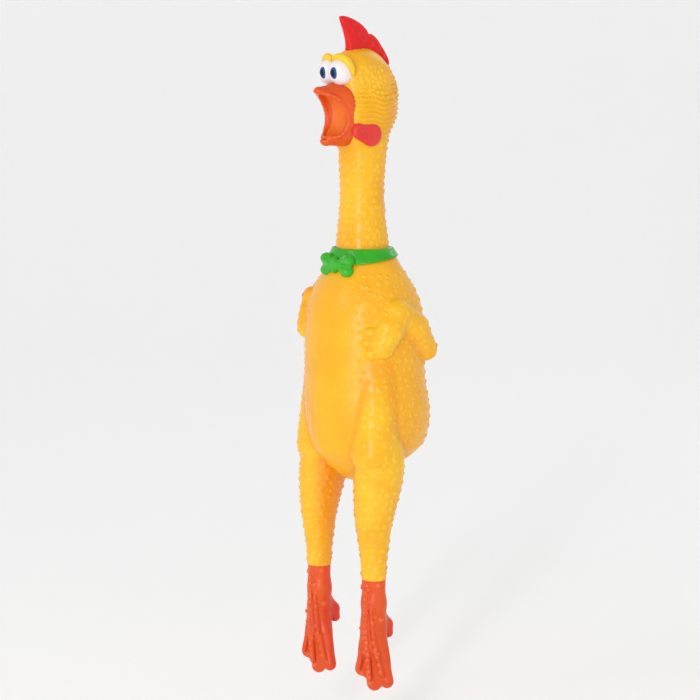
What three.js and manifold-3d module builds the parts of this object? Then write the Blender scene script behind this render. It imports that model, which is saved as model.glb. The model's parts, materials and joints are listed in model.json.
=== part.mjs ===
// Rubber chicken: a hollow soft vinyl bird that hangs from its neck and squawks when squeezed.
// Millimetres, +Z up. The bird faces -Y and its left side is +X. The origin is at the middle of the neck,
// where a hand holds it.
import * as THREE from "three";
import { mergeVertices } from "three/addons/utils/BufferGeometryUtils.js";
import Module from "manifold-3d";

const wasm = await Module();
wasm.setup();

// ---- driving dimensions ----

// Lengths of the stacked parts, from the toes to the crown.
const FOOT_LENGTH = 69;
const LEG_LENGTH = 68;
const TORSO_LENGTH = 129;
const NECK_LENGTH = 61;
const HEAD_HEIGHT = 59;
const COMB_HEIGHT = 19;

// Skin and fits.
const WALL = 2.2;
const GAP = 0.3;
const JOINT_GAP = 0.4;
const AIR_HOLE_RADIUS = 3;
const CUT_TOLERANCE = 0.01;

// Torso: where the legs leave it, how low the belly hangs, and how wide it is.
const TORSO_HALF_WIDTH = 38;
const TORSO_HALF_DEPTH = 39;
const BELLY_DROP = 12;
const HIP_SPREAD = 26;
const HIP_FORWARD = 12.5;
const HIP_RADIUS = 15;
const HIP_RIM_RISE = 5.5;

// Neck, and the ball that seats in the collar.
const NECK_RADIUS = 13;
const NECK_TOP_RADIUS = 14.4;
const NECK_BASE_RADIUS = 15.6;
const NECK_BALL_RADIUS = 15.2;
const NECK_SWING_DEG = 35;

// Head, and the ball that seats in the top of the neck.
const HEAD_HALF_WIDTH = 17.5;
const HEAD_HALF_DEPTH = 22;
const HEAD_BALL_RADIUS = 11.8;
const HEAD_SWING_DEG = 30;

// Collar and bow tie.
const COLLAR_HEIGHT = 11;
const COLLAR_THICKNESS = 2;
const BOW_HALF_WIDTH = 16.5;
const BOW_HEIGHT = 14;
const KNOT_RADIUS = 4;

// Comb, beak, eyes and wattles.
const COMB_THICKNESS = 5.5;
const UPPER_BEAK_REACH = 36.7;
const LOWER_BEAK_REACH = 31.5;
const JAW_ROOT_REACH = 8;
// Heights of each jaw's root and tip above the head's pivot, and its half height, as shares of the head.
const UPPER_ROOT_SHARE = 0.42;
const UPPER_TIP_SHARE = 0.585;
const UPPER_HALF_HEIGHT_SHARE = 0.203;
const LOWER_ROOT_SHARE = 0.25;
const LOWER_TIP_SHARE = 0.09;
const LOWER_HALF_HEIGHT_SHARE = 0.186;
const BEAK_HALF_WIDTH = 12.8;
const MOUTH_HALF_WIDTH = 10.5;
const MOUTH_HALF_HEIGHT = 13;
const LINING_THICKNESS = 1.4;
const THROAT_RADIUS = 2.5;
const EYE_SPREAD = 6.2;
const EYE_RADII = [6.7, 7.5, 8.2];
const BROW_RADIUS = 1.9;
const WATTLE_THICKNESS = 4;
const WATTLE_LENGTH = 17;
const WATTLE_WIDTH = 13;

// Wings: the shoulder's height on the torso, and how far the elbow and hand hang below it.
const WING_SHOULDER_SHARE = 0.71;
const WING_DROP = 25;
const WING_RADIUS = 6.8;
const FINGER_RADIUS = 4.4;
const FINGER_COUNT = 3;

// Legs and feet.
const THIGH_HALF_WIDTH = 13.6;
const THIGH_HALF_DEPTH = 14.5;
const SHIN_RADIUS = 8;
const ANKLE_RADIUS = 5.6;
const FOOT_SPLAY_DEG = 15;
const FOOT_WIDTH = 25;
const FOOT_THICKNESS = 10;
const TOE_LENGTH = 26;
const TOE_COUNT = 3;
const HALLUX_LENGTH = 13;
const SPUR_ROOT_BACK = 3;
const SPUR_RADIUS = 2.6;

// Squawker in the throat.
const SQUAWKER_RADIUS = 8.5;
const SQUAWKER_LENGTH = 24;
const SQUAWKER_WALL = 1.4;
const SQUAWKER_CAP = 2;
const THROAT_RING_HEIGHT = 4;
const REED_WIDTH = 6;
const REED_LENGTH = 17;
const REED_THICKNESS = 0.5;
const REED_GAP = 0.6;

// ---- heights that follow ----

const ANKLE_HEIGHT = FOOT_LENGTH;
const HIP_HEIGHT = ANKLE_HEIGHT + LEG_LENGTH;
const COLLAR_TOP = HIP_HEIGHT + TORSO_LENGTH;
const HEAD_PIVOT = COLLAR_TOP + NECK_LENGTH;
const GRIP_HEIGHT = COLLAR_TOP + NECK_LENGTH / 2;

// ---- finishes ----

const FINISHES = {
  yellow: { color: 0xf5b82e, roughness: 0.38, metalness: 0 },
  brow: { color: 0xf7c433, roughness: 0.38, metalness: 0 },
  red: { color: 0xe6242a, roughness: 0.32, metalness: 0 },
  wattle: { color: 0xe84b44, roughness: 0.35, metalness: 0 },
  orange: { color: 0xea5a22, roughness: 0.36, metalness: 0 },
  lining: { color: 0xec7a22, roughness: 0.4, metalness: 0 },
  white: { color: 0xf5f0f0, roughness: 0.3, metalness: 0 },
  green: { color: 0x35b02f, roughness: 0.35, metalness: 0 },
  plastic: { color: 0xe9e6dc, roughness: 0.45, metalness: 0 },
};

// ---- solids ----

function solidOf(geometry) {
  const bare = geometry.index ? geometry.toNonIndexed() : geometry.clone();
  for (const name of Object.keys(bare.attributes)) {
    if (name !== "position") bare.deleteAttribute(name);
  }
  const merged = mergeVertices(bare, 1e-4);
  return new wasm.Manifold(new wasm.Mesh({
    numProp: 3,
    vertProperties: Float32Array.from(merged.attributes.position.array),
    triVerts: Uint32Array.from(merged.index.array),
  }));
}

function geometryOf(solid) {
  const mesh = solid.simplify(CUT_TOLERANCE).getMesh();
  const geometry = new THREE.BufferGeometry();
  geometry.setAttribute("position", new THREE.BufferAttribute(mesh.vertProperties, mesh.numProp));
  geometry.setIndex(new THREE.BufferAttribute(mesh.triVerts, 1));
  geometry.computeVertexNormals();
  return geometry;
}

function ball(radii, centre, sides = 16) {
  const geometry = new THREE.SphereGeometry(1, sides, Math.round(sides * 0.55));
  geometry.rotateX(Math.PI / 2);
  geometry.scale(...radii);
  geometry.translate(...centre);
  return solidOf(geometry);
}

function block(size, centre) {
  return solidOf(new THREE.BoxGeometry(...size).translate(...centre));
}

// A round bar or disc along Z, from the height `bottom` up.
function rod(radius, bottom, length, sides = 18) {
  const geometry = new THREE.CylinderGeometry(radius, radius, length, sides);
  return solidOf(geometry.rotateX(Math.PI / 2).translate(0, 0, bottom + length / 2));
}

// A tube of round section that follows a smooth curve through the points, with domed ends.
function bentBar(points, radius, sides = 8, steps = 9) {
  const path = new THREE.CatmullRomCurve3(points);
  const section = new THREE.Shape().absarc(0, 0, radius, 0, 2 * Math.PI);
  const geometry = new THREE.ExtrudeGeometry(section, {
    steps,
    extrudePath: path,
    curveSegments: sides / 2,
    bevelEnabled: false,
  });
  const ends = [points[0], points[points.length - 1]];
  return ends.reduce(
    (bar, end) => bar.add(ball([radius, radius, radius], end.toArray(), sides)),
    solidOf(geometry),
  );
}

// ---- lofted skins ----

// One station of a skin: its height, half width, half depth and how far back its centre lies.
function station(height, halfWidth, halfDepth, back = 0) {
  return { height, halfWidth, halfDepth, back };
}

function slope(stations, index, key) {
  const before = stations[Math.max(index - 1, 0)];
  const after = stations[Math.min(index + 1, stations.length - 1)];
  return (after[key] - before[key]) / (after.height - before.height);
}

// The smooth curve through one value of the stations, lowest station first.
function valueAt(stations, height, key) {
  const last = stations.length - 2;
  const found = stations.findIndex((one) => one.height > height) - 1;
  const index = found < -1 ? last : THREE.MathUtils.clamp(found, 0, last);
  const [low, high] = [stations[index], stations[index + 1]];
  const span = high.height - low.height;
  const t = THREE.MathUtils.clamp((height - low.height) / span, 0, 1);
  const ease = t * t * (3 - 2 * t);
  const rise = span * (t * t * t - 2 * t * t + t) * slope(stations, index, key);
  const fall = span * (t * t * t - t * t) * slope(stations, index + 1, key);
  return low[key] + ease * (high[key] - low[key]) + rise + fall;
}

// How far a domed end has closed, `depth` past the end it starts from.
function domeShare(distance, depth) {
  const t = depth > 0 ? THREE.MathUtils.clamp(distance / depth, 0, 1) : 1;
  return Math.sqrt(1 - (1 - t) ** 2);
}

// A closed solid through the stations. `grow` moves its wall outwards, and `domes` are the depths of its
// rounded bottom and top, 0 for a flat end.
function loft(stations, { grow = 0, domes = [0, 0], rings = 12, sides = 20 } = {}) {
  const bottom = stations[0].height - (domes[0] ? grow : 0);
  const top = stations[stations.length - 1].height + (domes[1] ? grow : 0);
  const profile = [new THREE.Vector2(0, bottom)];
  for (let ring = domes[0] ? 1 : 0; ring <= rings - (domes[1] ? 1 : 0); ring += 1) {
    const height = bottom + (top - bottom) * (1 - Math.cos((Math.PI * ring) / rings)) / 2;
    profile.push(new THREE.Vector2(1, height));
  }
  profile.push(new THREE.Vector2(0, top));
  const geometry = new THREE.LatheGeometry(profile, sides).rotateX(Math.PI / 2);
  const position = geometry.attributes.position;
  const [low, high] = domes.map((depth) => (depth ? depth + grow : 0));
  for (let i = 0; i < position.count; i += 1) {
    const height = position.getZ(i);
    const share = domeShare(height - bottom, low) * domeShare(top - height, high);
    const halfWidth = (valueAt(stations, height, "halfWidth") + grow) * share;
    const halfDepth = (valueAt(stations, height, "halfDepth") + grow) * share;
    const back = valueAt(stations, height, "back");
    position.setXY(i, position.getX(i) * halfWidth, position.getY(i) * halfDepth + back);
  }
  return solidOf(geometry);
}

// The stretch outside a ball joint where the moving skin keeps inside a cone, so that the joint can swing.
function coneLimit(ballRadius, swingDeg, reach, sides = 20) {
  const open = THREE.MathUtils.degToRad(90 - swingDeg);
  const start = ballRadius * Math.cos(open);
  const profile = [
    new THREE.Vector2(0, start / 2),
    new THREE.Vector2((start / 2) * Math.tan(open), start / 2),
    new THREE.Vector2(reach * Math.tan(open), reach),
    new THREE.Vector2(0, reach),
  ];
  return solidOf(new THREE.LatheGeometry(profile, sides).rotateX(Math.PI / 2));
}

function mirrored(solid, side) {
  return side > 0 ? solid : solid.mirror([1, 0, 0]);
}

// ---- head, from its pivot up ----

const CROWN = HEAD_HEIGHT;
const HEAD_STATIONS = [
  station(-1, 11, 11),
  station(7, 14.5, 15.3, 0.8),
  station(HEAD_HEIGHT * 0.31, HEAD_HALF_WIDTH - 1, HEAD_HALF_DEPTH - 1.5, 2.2),
  station(HEAD_HEIGHT * 0.51, HEAD_HALF_WIDTH, HEAD_HALF_DEPTH, 1.8),
  station(HEAD_HEIGHT * 0.76, HEAD_HALF_WIDTH - 1.5, HEAD_HALF_DEPTH - 2.2, 0),
  station(CROWN, HEAD_HALF_WIDTH - 2.5, HEAD_HALF_DEPTH - 3.5, 0),
];
const HEAD_DOME = HEAD_HEIGHT * 0.36;
const MOUTH_HEIGHT = HEAD_HEIGHT * 0.33;
const MOUTH_CENTRE = [0, -36, MOUTH_HEIGHT];
const EYE_CENTRE = [EYE_SPREAD, -20.5, HEAD_HEIGHT * 0.76];

function headForm(grow) {
  const skull = loft(HEAD_STATIONS, { grow, domes: [0, HEAD_DOME], rings: 13 });
  const limit = coneLimit(HEAD_BALL_RADIUS, HEAD_SWING_DEG, HEAD_HEIGHT * 2);
  return skull.intersect(limit);
}

function mouthForm(grow) {
  const radii = [MOUTH_HALF_WIDTH + grow, 17.5 + grow, MOUTH_HALF_HEIGHT + grow];
  return ball(radii, MOUTH_CENTRE, 18);
}

function throat(radius) {
  const bar = new THREE.CylinderGeometry(radius, radius, 30, 10);
  return solidOf(bar.translate(0, -15, MOUTH_HEIGHT));
}

function headShell() {
  const seat = HEAD_BALL_RADIUS;
  const outside = headForm(0).add(ball([seat, seat, seat], [0, 0, 0], 18));
  const hollow = loft(HEAD_STATIONS, { grow: -WALL, domes: [0, HEAD_DOME], rings: 8, sides: 14 });
  const inside = hollow.intersect(coneLimit(HEAD_BALL_RADIUS, HEAD_SWING_DEG + 8, HEAD_HEIGHT * 2));
  const air = rod(AIR_HOLE_RADIUS, -2 * seat, 3 * seat, 10);
  return outside.subtract(inside)
    .subtract(air)
    .subtract(mouthForm(LINING_THICKNESS + GAP))
    .subtract(throat(THROAT_RADIUS));
}

function comb() {
  const base = HEAD_HEIGHT - 14;
  const top = CROWN + COMB_HEIGHT;
  const outline = new THREE.Shape();
  outline.moveTo(-13, base);
  outline.lineTo(-13, CROWN);
  outline.quadraticCurveTo(-13.6, CROWN + COMB_HEIGHT * 0.5, -17.4, top - 2);
  outline.quadraticCurveTo(-17.6, top, -15, top);
  outline.quadraticCurveTo(-1, top - 1, 4, top - 10);
  outline.quadraticCurveTo(12.5, top - 11, 19.5, top - 29);
  outline.lineTo(12, base);
  const geometry = new THREE.ExtrudeGeometry(outline, {
    depth: COMB_THICKNESS - 2,
    bevelThickness: 1,
    bevelSize: 0.8,
    bevelOffset: -0.8,
    bevelSegments: 1,
    curveSegments: 4,
  });
  geometry.translate(0, 0, 1 - COMB_THICKNESS / 2);
  const turn = new THREE.Matrix4().makeBasis(
    new THREE.Vector3(0, 1, 0),
    new THREE.Vector3(0, 0, 1),
    new THREE.Vector3(1, 0, 0),
  );
  return solidOf(geometry.applyMatrix4(turn)).subtract(headForm(GAP));
}

// One jaw: a blunt ogive from inside the face out to its tip.
function jaw(root, tip, halfHeight) {
  const start = new THREE.Vector3(0, ...root);
  const end = new THREE.Vector3(0, ...tip);
  const length = start.distanceTo(end);
  const profile = [new THREE.Vector2(0, 0)];
  const steps = 7;
  for (let step = 0; step < steps; step += 1) {
    const t = Math.sin((step / steps) * (Math.PI / 2));
    profile.push(new THREE.Vector2(Math.sqrt(1 - t ** 2.2), length * t));
  }
  profile.push(new THREE.Vector2(0, length));
  const geometry = new THREE.LatheGeometry(profile, 18);
  geometry.scale(BEAK_HALF_WIDTH, 1, halfHeight);
  geometry.rotateX(Math.atan2(end.z - start.z, end.y - start.y));
  geometry.translate(start.x, start.y, start.z);
  return solidOf(geometry);
}

// Both jaws as one solid, before the mouth is opened between them.
function muzzle(grow) {
  const upper = jaw(
    [-JAW_ROOT_REACH, HEAD_HEIGHT * UPPER_ROOT_SHARE],
    [-UPPER_BEAK_REACH, HEAD_HEIGHT * UPPER_TIP_SHARE],
    HEAD_HEIGHT * UPPER_HALF_HEIGHT_SHARE + grow,
  );
  const lower = jaw(
    [-JAW_ROOT_REACH, HEAD_HEIGHT * LOWER_ROOT_SHARE],
    [-LOWER_BEAK_REACH, HEAD_HEIGHT * LOWER_TIP_SHARE],
    HEAD_HEIGHT * LOWER_HALF_HEIGHT_SHARE + grow,
  );
  return upper.add(lower);
}

function beakForms() {
  const split = block([60, 80, 60], [0, -20, MOUTH_HEIGHT + 30 + GAP / 2]);
  const reach = NECK_TOP_RADIUS + 3 * JOINT_GAP;
  const swing = solidOf(new THREE.CylinderGeometry(reach, reach, 60, 32).rotateZ(Math.PI / 2));
  const eyes = eyeForm(GAP).add(mirrored(eyeForm(GAP), -1));
  const beak = muzzle(0).subtract(headForm(GAP))
    .subtract(mouthForm(LINING_THICKNESS + GAP))
    .subtract(swing)
    .subtract(eyes);
  return {
    upper: largestPiece(beak.intersect(split)),
    lower: largestPiece(beak.subtract(split.translate([0, 0, -GAP]))),
  };
}

function mouthLining() {
  const front = block([60, 40, 60], [0, -27 - 20, MOUTH_HEIGHT]);
  return mouthForm(LINING_THICKNESS).subtract(mouthForm(0))
    .subtract(front)
    .subtract(throat(THROAT_RADIUS));
}

function eyeForm(grow) {
  return ball(EYE_RADII.map((radius) => radius + grow), EYE_CENTRE, 16);
}

function eyeball(side) {
  const half = block([40, 60, 60], [20 + GAP / 2, EYE_CENTRE[1], EYE_CENTRE[2]]);
  return mirrored(eyeForm(0).intersect(half).subtract(headForm(GAP)), side);
}

function eyelid(side) {
  const [x, y, z] = EYE_CENTRE;
  const points = [];
  for (let step = 0; step <= 6; step += 1) {
    const angle = THREE.MathUtils.degToRad(100 - 22 * step);
    const reach = EYE_RADII[0] + BROW_RADIUS * 0.5;
    const across = Math.max(x + reach * Math.cos(angle), BROW_RADIUS + GAP);
    const rise = z + (EYE_RADII[2] + BROW_RADIUS * 0.5) * Math.sin(angle);
    points.push(new THREE.Vector3(across, y + 1 + step * 0.7, rise));
  }
  const lid = bentBar(points, BROW_RADIUS, 8, 8).subtract(eyeForm(GAP)).subtract(headForm(GAP));
  return mirrored(largestPiece(lid), side);
}

function largestPiece(solid) {
  const pieces = solid.decompose();
  return pieces.reduce((best, piece) => (piece.volume() > best.volume() ? piece : best));
}

function wattle(side) {
  const rest = NECK_TOP_RADIUS + 2 * JOINT_GAP;
  const radii = [WATTLE_THICKNESS, WATTLE_LENGTH / 2, WATTLE_WIDTH / 2];
  const lobe = ball(radii, [rest + 0.5, -7, 7.5], 14);
  const outside = block([60, 60, 60], [30 + rest, 0, 0]);
  const pad = lobe.intersect(outside).subtract(headForm(GAP)).subtract(muzzle(GAP));
  return mirrored(largestPiece(pad), side);
}

// ---- neck, from the collar's top up ----

const NECK_CONE_TOP = NECK_BASE_RADIUS * Math.tan(THREE.MathUtils.degToRad(NECK_SWING_DEG));
const NECK_STATIONS = [
  station(0, NECK_BASE_RADIUS, NECK_BASE_RADIUS),
  station(NECK_CONE_TOP + 1, NECK_BASE_RADIUS, NECK_BASE_RADIUS),
  station(NECK_LENGTH * 0.55, NECK_RADIUS, NECK_RADIUS),
  station(NECK_LENGTH * 0.8, NECK_RADIUS + 0.4, NECK_RADIUS + 0.4),
  station(NECK_LENGTH, NECK_TOP_RADIUS, NECK_TOP_RADIUS),
];

function neckShell() {
  const foot = NECK_BALL_RADIUS;
  const seat = HEAD_BALL_RADIUS + JOINT_GAP;
  const column = loft(NECK_STATIONS, { rings: 8 });
  const outside = column.intersect(coneLimit(foot, NECK_SWING_DEG, NECK_LENGTH * 2))
    .add(ball([foot, foot, foot], [0, 0, 0], 20));
  const bore = rod(NECK_RADIUS - WALL, 0, NECK_LENGTH + 1, 18);
  const pocket = ball([foot - WALL, foot - WALL, foot - WALL], [0, 0, 0], 14);
  const air = rod(AIR_HOLE_RADIUS * 2, -2 * foot, 2 * foot, 12);
  const socket = ball([seat, seat, seat], [0, 0, NECK_LENGTH], 20);
  return outside.subtract(bore)
    .subtract(pocket.intersect(rod(NECK_RADIUS - WALL, -foot, 2 * foot, 18)))
    .subtract(air)
    .subtract(socket);
}

// ---- squawker, in the neck ----

const SQUAWKER_TOP = NECK_LENGTH - HEAD_BALL_RADIUS - SQUAWKER_CAP - 2;
const SQUAWKER_LIFT = SQUAWKER_TOP - SQUAWKER_LENGTH;
const BLOCK_RADIUS = SQUAWKER_RADIUS - SQUAWKER_WALL - GAP;
const REED_TOP = SQUAWKER_TOP - 2;

function squawkerHousing() {
  const bore = rod(SQUAWKER_RADIUS - SQUAWKER_WALL, SQUAWKER_LIFT - 1, SQUAWKER_LENGTH + 2);
  return rod(SQUAWKER_RADIUS, SQUAWKER_LIFT, SQUAWKER_LENGTH).subtract(bore);
}

function throatRing() {
  const bottom = SQUAWKER_LIFT + SQUAWKER_LENGTH / 2;
  const hole = rod(SQUAWKER_RADIUS + GAP, bottom - 1, THROAT_RING_HEIGHT + 2);
  return rod(NECK_RADIUS - WALL - GAP, bottom, THROAT_RING_HEIGHT, 18).subtract(hole);
}

function squawkerCap() {
  let cap = rod(SQUAWKER_RADIUS, SQUAWKER_TOP + GAP, SQUAWKER_CAP);
  const holes = 5;
  for (let index = 0; index < holes; index += 1) {
    const angle = (index / holes) * 2 * Math.PI;
    const hole = rod(1.4, SQUAWKER_TOP, SQUAWKER_CAP * 2, 8);
    const reach = SQUAWKER_RADIUS * 0.55;
    cap = cap.subtract(hole.translate([reach * Math.cos(angle), reach * Math.sin(angle), 0]));
  }
  return cap;
}

function reedBlock() {
  const depth = SQUAWKER_LENGTH - 4;
  const bottom = SQUAWKER_LIFT + 2;
  const half = block([40, 20, 60], [0, 10 + REED_GAP, bottom + depth / 2]);
  const trough = rod(REED_WIDTH / 2 - 0.8, bottom - 1, depth - 4, 12);
  const channel = trough.translate([0, REED_GAP, 0]);
  const clamp = block([REED_WIDTH + 2, 3, 2], [0, -REED_THICKNESS - 2, REED_TOP - 1.5]);
  const strap = block([1, 4, 2], [REED_WIDTH / 2 + 1, -1, REED_TOP - 1.5]);
  const straps = strap.add(strap.mirror([1, 0, 0]));
  return rod(BLOCK_RADIUS, bottom, depth).intersect(half).subtract(channel).add(clamp).add(straps);
}

function reed() {
  return block(
    [REED_WIDTH, REED_THICKNESS, REED_LENGTH],
    [0, -REED_THICKNESS / 2, REED_TOP - 1 - REED_LENGTH / 2],
  );
}

// ---- torso, from the hip pivots up ----

const SHOULDER = TORSO_LENGTH - COLLAR_HEIGHT;
const COLLAR_SEAT = NECK_BALL_RADIUS + JOINT_GAP + WALL;
const TORSO_STATIONS = [
  station(-BELLY_DROP, 18, 15, -9),
  station(-1, 27, 25, -3),
  station(TORSO_LENGTH * 0.08, TORSO_HALF_WIDTH - 4, TORSO_HALF_DEPTH - 4, 1.5),
  station(TORSO_LENGTH * 0.15, TORSO_HALF_WIDTH - 1, TORSO_HALF_DEPTH - 1, 3),
  station(TORSO_LENGTH * 0.25, TORSO_HALF_WIDTH, TORSO_HALF_DEPTH, 3),
  station(TORSO_LENGTH * 0.4, TORSO_HALF_WIDTH - 1, TORSO_HALF_DEPTH - 3, 2.2),
  station(TORSO_LENGTH * 0.57, TORSO_HALF_WIDTH - 1, TORSO_HALF_DEPTH - 4, 1.8),
  station(TORSO_LENGTH * 0.72, TORSO_HALF_WIDTH - 2, TORSO_HALF_DEPTH - 6, 1.6),
  station(TORSO_LENGTH * 0.82, TORSO_HALF_WIDTH - 6, TORSO_HALF_DEPTH - 11, 1.6),
  station(TORSO_LENGTH * 0.91, COLLAR_SEAT + 8, COLLAR_SEAT + 4.5, 1.4),
  station(TORSO_LENGTH, COLLAR_SEAT, COLLAR_SEAT),
];

function hipStub(side) {
  const radius = HIP_RADIUS + JOINT_GAP + WALL;
  return ball([radius, radius, radius], [side * HIP_SPREAD, -HIP_FORWARD, 0], 16);
}

function torsoForm(grow) {
  return loft(TORSO_STATIONS, { grow, domes: [BELLY_DROP * 0.8, 0], rings: 18, sides: 28 });
}

function torsoShell() {
  const hollow = { grow: -WALL, domes: [BELLY_DROP * 0.8, 0], rings: 10, sides: 18 };
  const floor = HIP_RIM_RISE + WALL;
  const ceiling = SHOULDER - NECK_BALL_RADIUS - 1;
  const room = block([200, 200, ceiling - floor], [0, 0, (ceiling + floor) / 2]);
  const inside = loft(TORSO_STATIONS, hollow).intersect(room);
  const ballSeat = NECK_BALL_RADIUS + JOINT_GAP;
  const neckSeat = ball([ballSeat, ballSeat, ballSeat], [0, 0, TORSO_LENGTH], 20);
  const air = rod(AIR_HOLE_RADIUS * 2, SHOULDER - 30, 40, 12);
  let shell = torsoForm(0).add(hipStub(1)).add(hipStub(-1));
  shell = shell.subtract(inside).subtract(neckSeat).subtract(air);
  for (const side of [1, -1]) {
    const seat = HIP_RADIUS + JOINT_GAP;
    const centre = [side * HIP_SPREAD, -HIP_FORWARD, 0];
    const rim = block([34, 70, 40], [side * (HIP_SPREAD + 1.5), 0, HIP_RIM_RISE - 20]);
    const stem = rod(AIR_HOLE_RADIUS, 0, 30, 10).translate(centre);
    shell = shell.subtract(ball([seat, seat, seat], centre, 20)).subtract(rim).subtract(stem);
  }
  return largestPiece(shell);
}

// A band of the torso's own shape, wrapped round the shoulders.
function bandForm(grow, height) {
  const slab = block([200, 200, height], [0, 0, TORSO_LENGTH - height / 2]);
  return torsoForm(COLLAR_THICKNESS + GAP + grow).intersect(slab);
}

function collarBand() {
  return bandForm(0, COLLAR_HEIGHT).subtract(torsoForm(GAP));
}

const BOW_HEIGHT_ABOVE_HIP = TORSO_LENGTH - BOW_HEIGHT / 2 - 1.5;
const BOW_FRONT = COLLAR_SEAT + COLLAR_THICKNESS + 2.5;

function bowKeepOut() {
  return bandForm(GAP, COLLAR_HEIGHT + GAP).add(torsoForm(GAP));
}

function bowKnot() {
  const knot = ball([KNOT_RADIUS, 4, BOW_HEIGHT * 0.33], [0, -BOW_FRONT, BOW_HEIGHT_ABOVE_HIP], 12);
  return knot.subtract(bowKeepOut());
}

function bowLoop(side) {
  const reach = BOW_HALF_WIDTH - KNOT_RADIUS * 0.5;
  const middle = [KNOT_RADIUS * 0.5 + reach / 2, -BOW_FRONT + 2.5, BOW_HEIGHT_ABOVE_HIP];
  const loop = ball([reach / 2, 4.5, BOW_HEIGHT / 2], middle, 14);
  const knot = ball(
    [KNOT_RADIUS + GAP, 4 + GAP, BOW_HEIGHT * 0.33 + GAP],
    [0, -BOW_FRONT, BOW_HEIGHT_ABOVE_HIP],
    12,
  );
  return mirrored(largestPiece(loop.subtract(knot).subtract(bowKeepOut())), side);
}

// A point on the torso's skin, `around` degrees from the breast towards the bird's left.
function onTorso(around, height, lift = 0) {
  const angle = THREE.MathUtils.degToRad(around);
  const halfWidth = valueAt(TORSO_STATIONS, height, "halfWidth") + lift;
  const halfDepth = valueAt(TORSO_STATIONS, height, "halfDepth") + lift;
  const back = valueAt(TORSO_STATIONS, height, "back");
  return new THREE.Vector3(halfWidth * Math.sin(angle), back - halfDepth * Math.cos(angle), height);
}

function wing(side) {
  const shoulder = TORSO_LENGTH * WING_SHOULDER_SHARE;
  const elbow = shoulder - WING_DROP;
  const arm = bentBar([
    onTorso(135, elbow, 4),
    onTorso(112, elbow + WING_DROP * 0.55, 1.5),
    onTorso(88, shoulder),
    onTorso(72, shoulder - WING_DROP * 0.35),
    onTorso(62, shoulder - WING_DROP * 0.75),
  ], WING_RADIUS, 8, 12);
  let limb = arm;
  for (let finger = 0; finger < FINGER_COUNT; finger += 1) {
    const rise = (finger - (FINGER_COUNT - 1) / 2) * FINGER_RADIUS * 1.3;
    const tip = onTorso(53 + 2 * Math.abs(finger - 1), elbow + WING_DROP * 0.3 + rise);
    limb = limb.add(ball([FINGER_RADIUS * 1.3, FINGER_RADIUS * 1.3, FINGER_RADIUS], tip.toArray(), 10));
  }
  return mirrored(largestPiece(limb.subtract(torsoForm(GAP))), side);
}

// ---- legs, down from the hip pivots ----

const LEG_STATIONS = [
  station(-LEG_LENGTH, SHIN_RADIUS, SHIN_RADIUS, 0),
  station(-LEG_LENGTH * 0.74, SHIN_RADIUS + 0.4, SHIN_RADIUS + 0.6, 0),
  station(-LEG_LENGTH * 0.47, THIGH_HALF_WIDTH - 2.6, THIGH_HALF_DEPTH - 2.4, 0),
  station(-LEG_LENGTH * 0.22, THIGH_HALF_WIDTH, THIGH_HALF_DEPTH, 0),
  station(-HIP_RADIUS * 0.45, HIP_RADIUS * 0.85, HIP_RADIUS * 0.85, 0),
];

function leg() {
  const seat = ANKLE_RADIUS + JOINT_GAP;
  const outside = loft(LEG_STATIONS, { rings: 9, sides: 18 })
    .add(ball([HIP_RADIUS, HIP_RADIUS, HIP_RADIUS], [0, 0, 0], 20));
  const hollow = loft(LEG_STATIONS, { grow: -WALL, rings: 6, sides: 12 })
    .intersect(block([60, 60, LEG_LENGTH], [0, 0, 12 - LEG_LENGTH / 2]));
  const crown = rod(AIR_HOLE_RADIUS, -20, 40, 10);
  return outside.subtract(hollow)
    .subtract(crown)
    .subtract(ball([seat, seat, seat], [0, 0, -LEG_LENGTH], 16));
}

// ---- feet, down from the ankle pivots ----

function limbTo(start, end, radii) {
  const from = new THREE.Vector3(...start);
  const to = new THREE.Vector3(...end);
  const length = from.distanceTo(to);
  const geometry = new THREE.SphereGeometry(1, 10, 8);
  geometry.scale(radii[0], length / 2 + radii[0] / 2, radii[1]);
  geometry.translate(0, length / 2, 0);
  const across = new THREE.Vector3(1, 0, 0);
  const along = to.clone().sub(from).normalize();
  const third = new THREE.Vector3().crossVectors(across, along).normalize();
  const level = new THREE.Vector3().crossVectors(along, third).normalize();
  geometry.applyMatrix4(new THREE.Matrix4().makeBasis(level, along, third));
  geometry.translate(...start);
  return solidOf(geometry);
}

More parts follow.
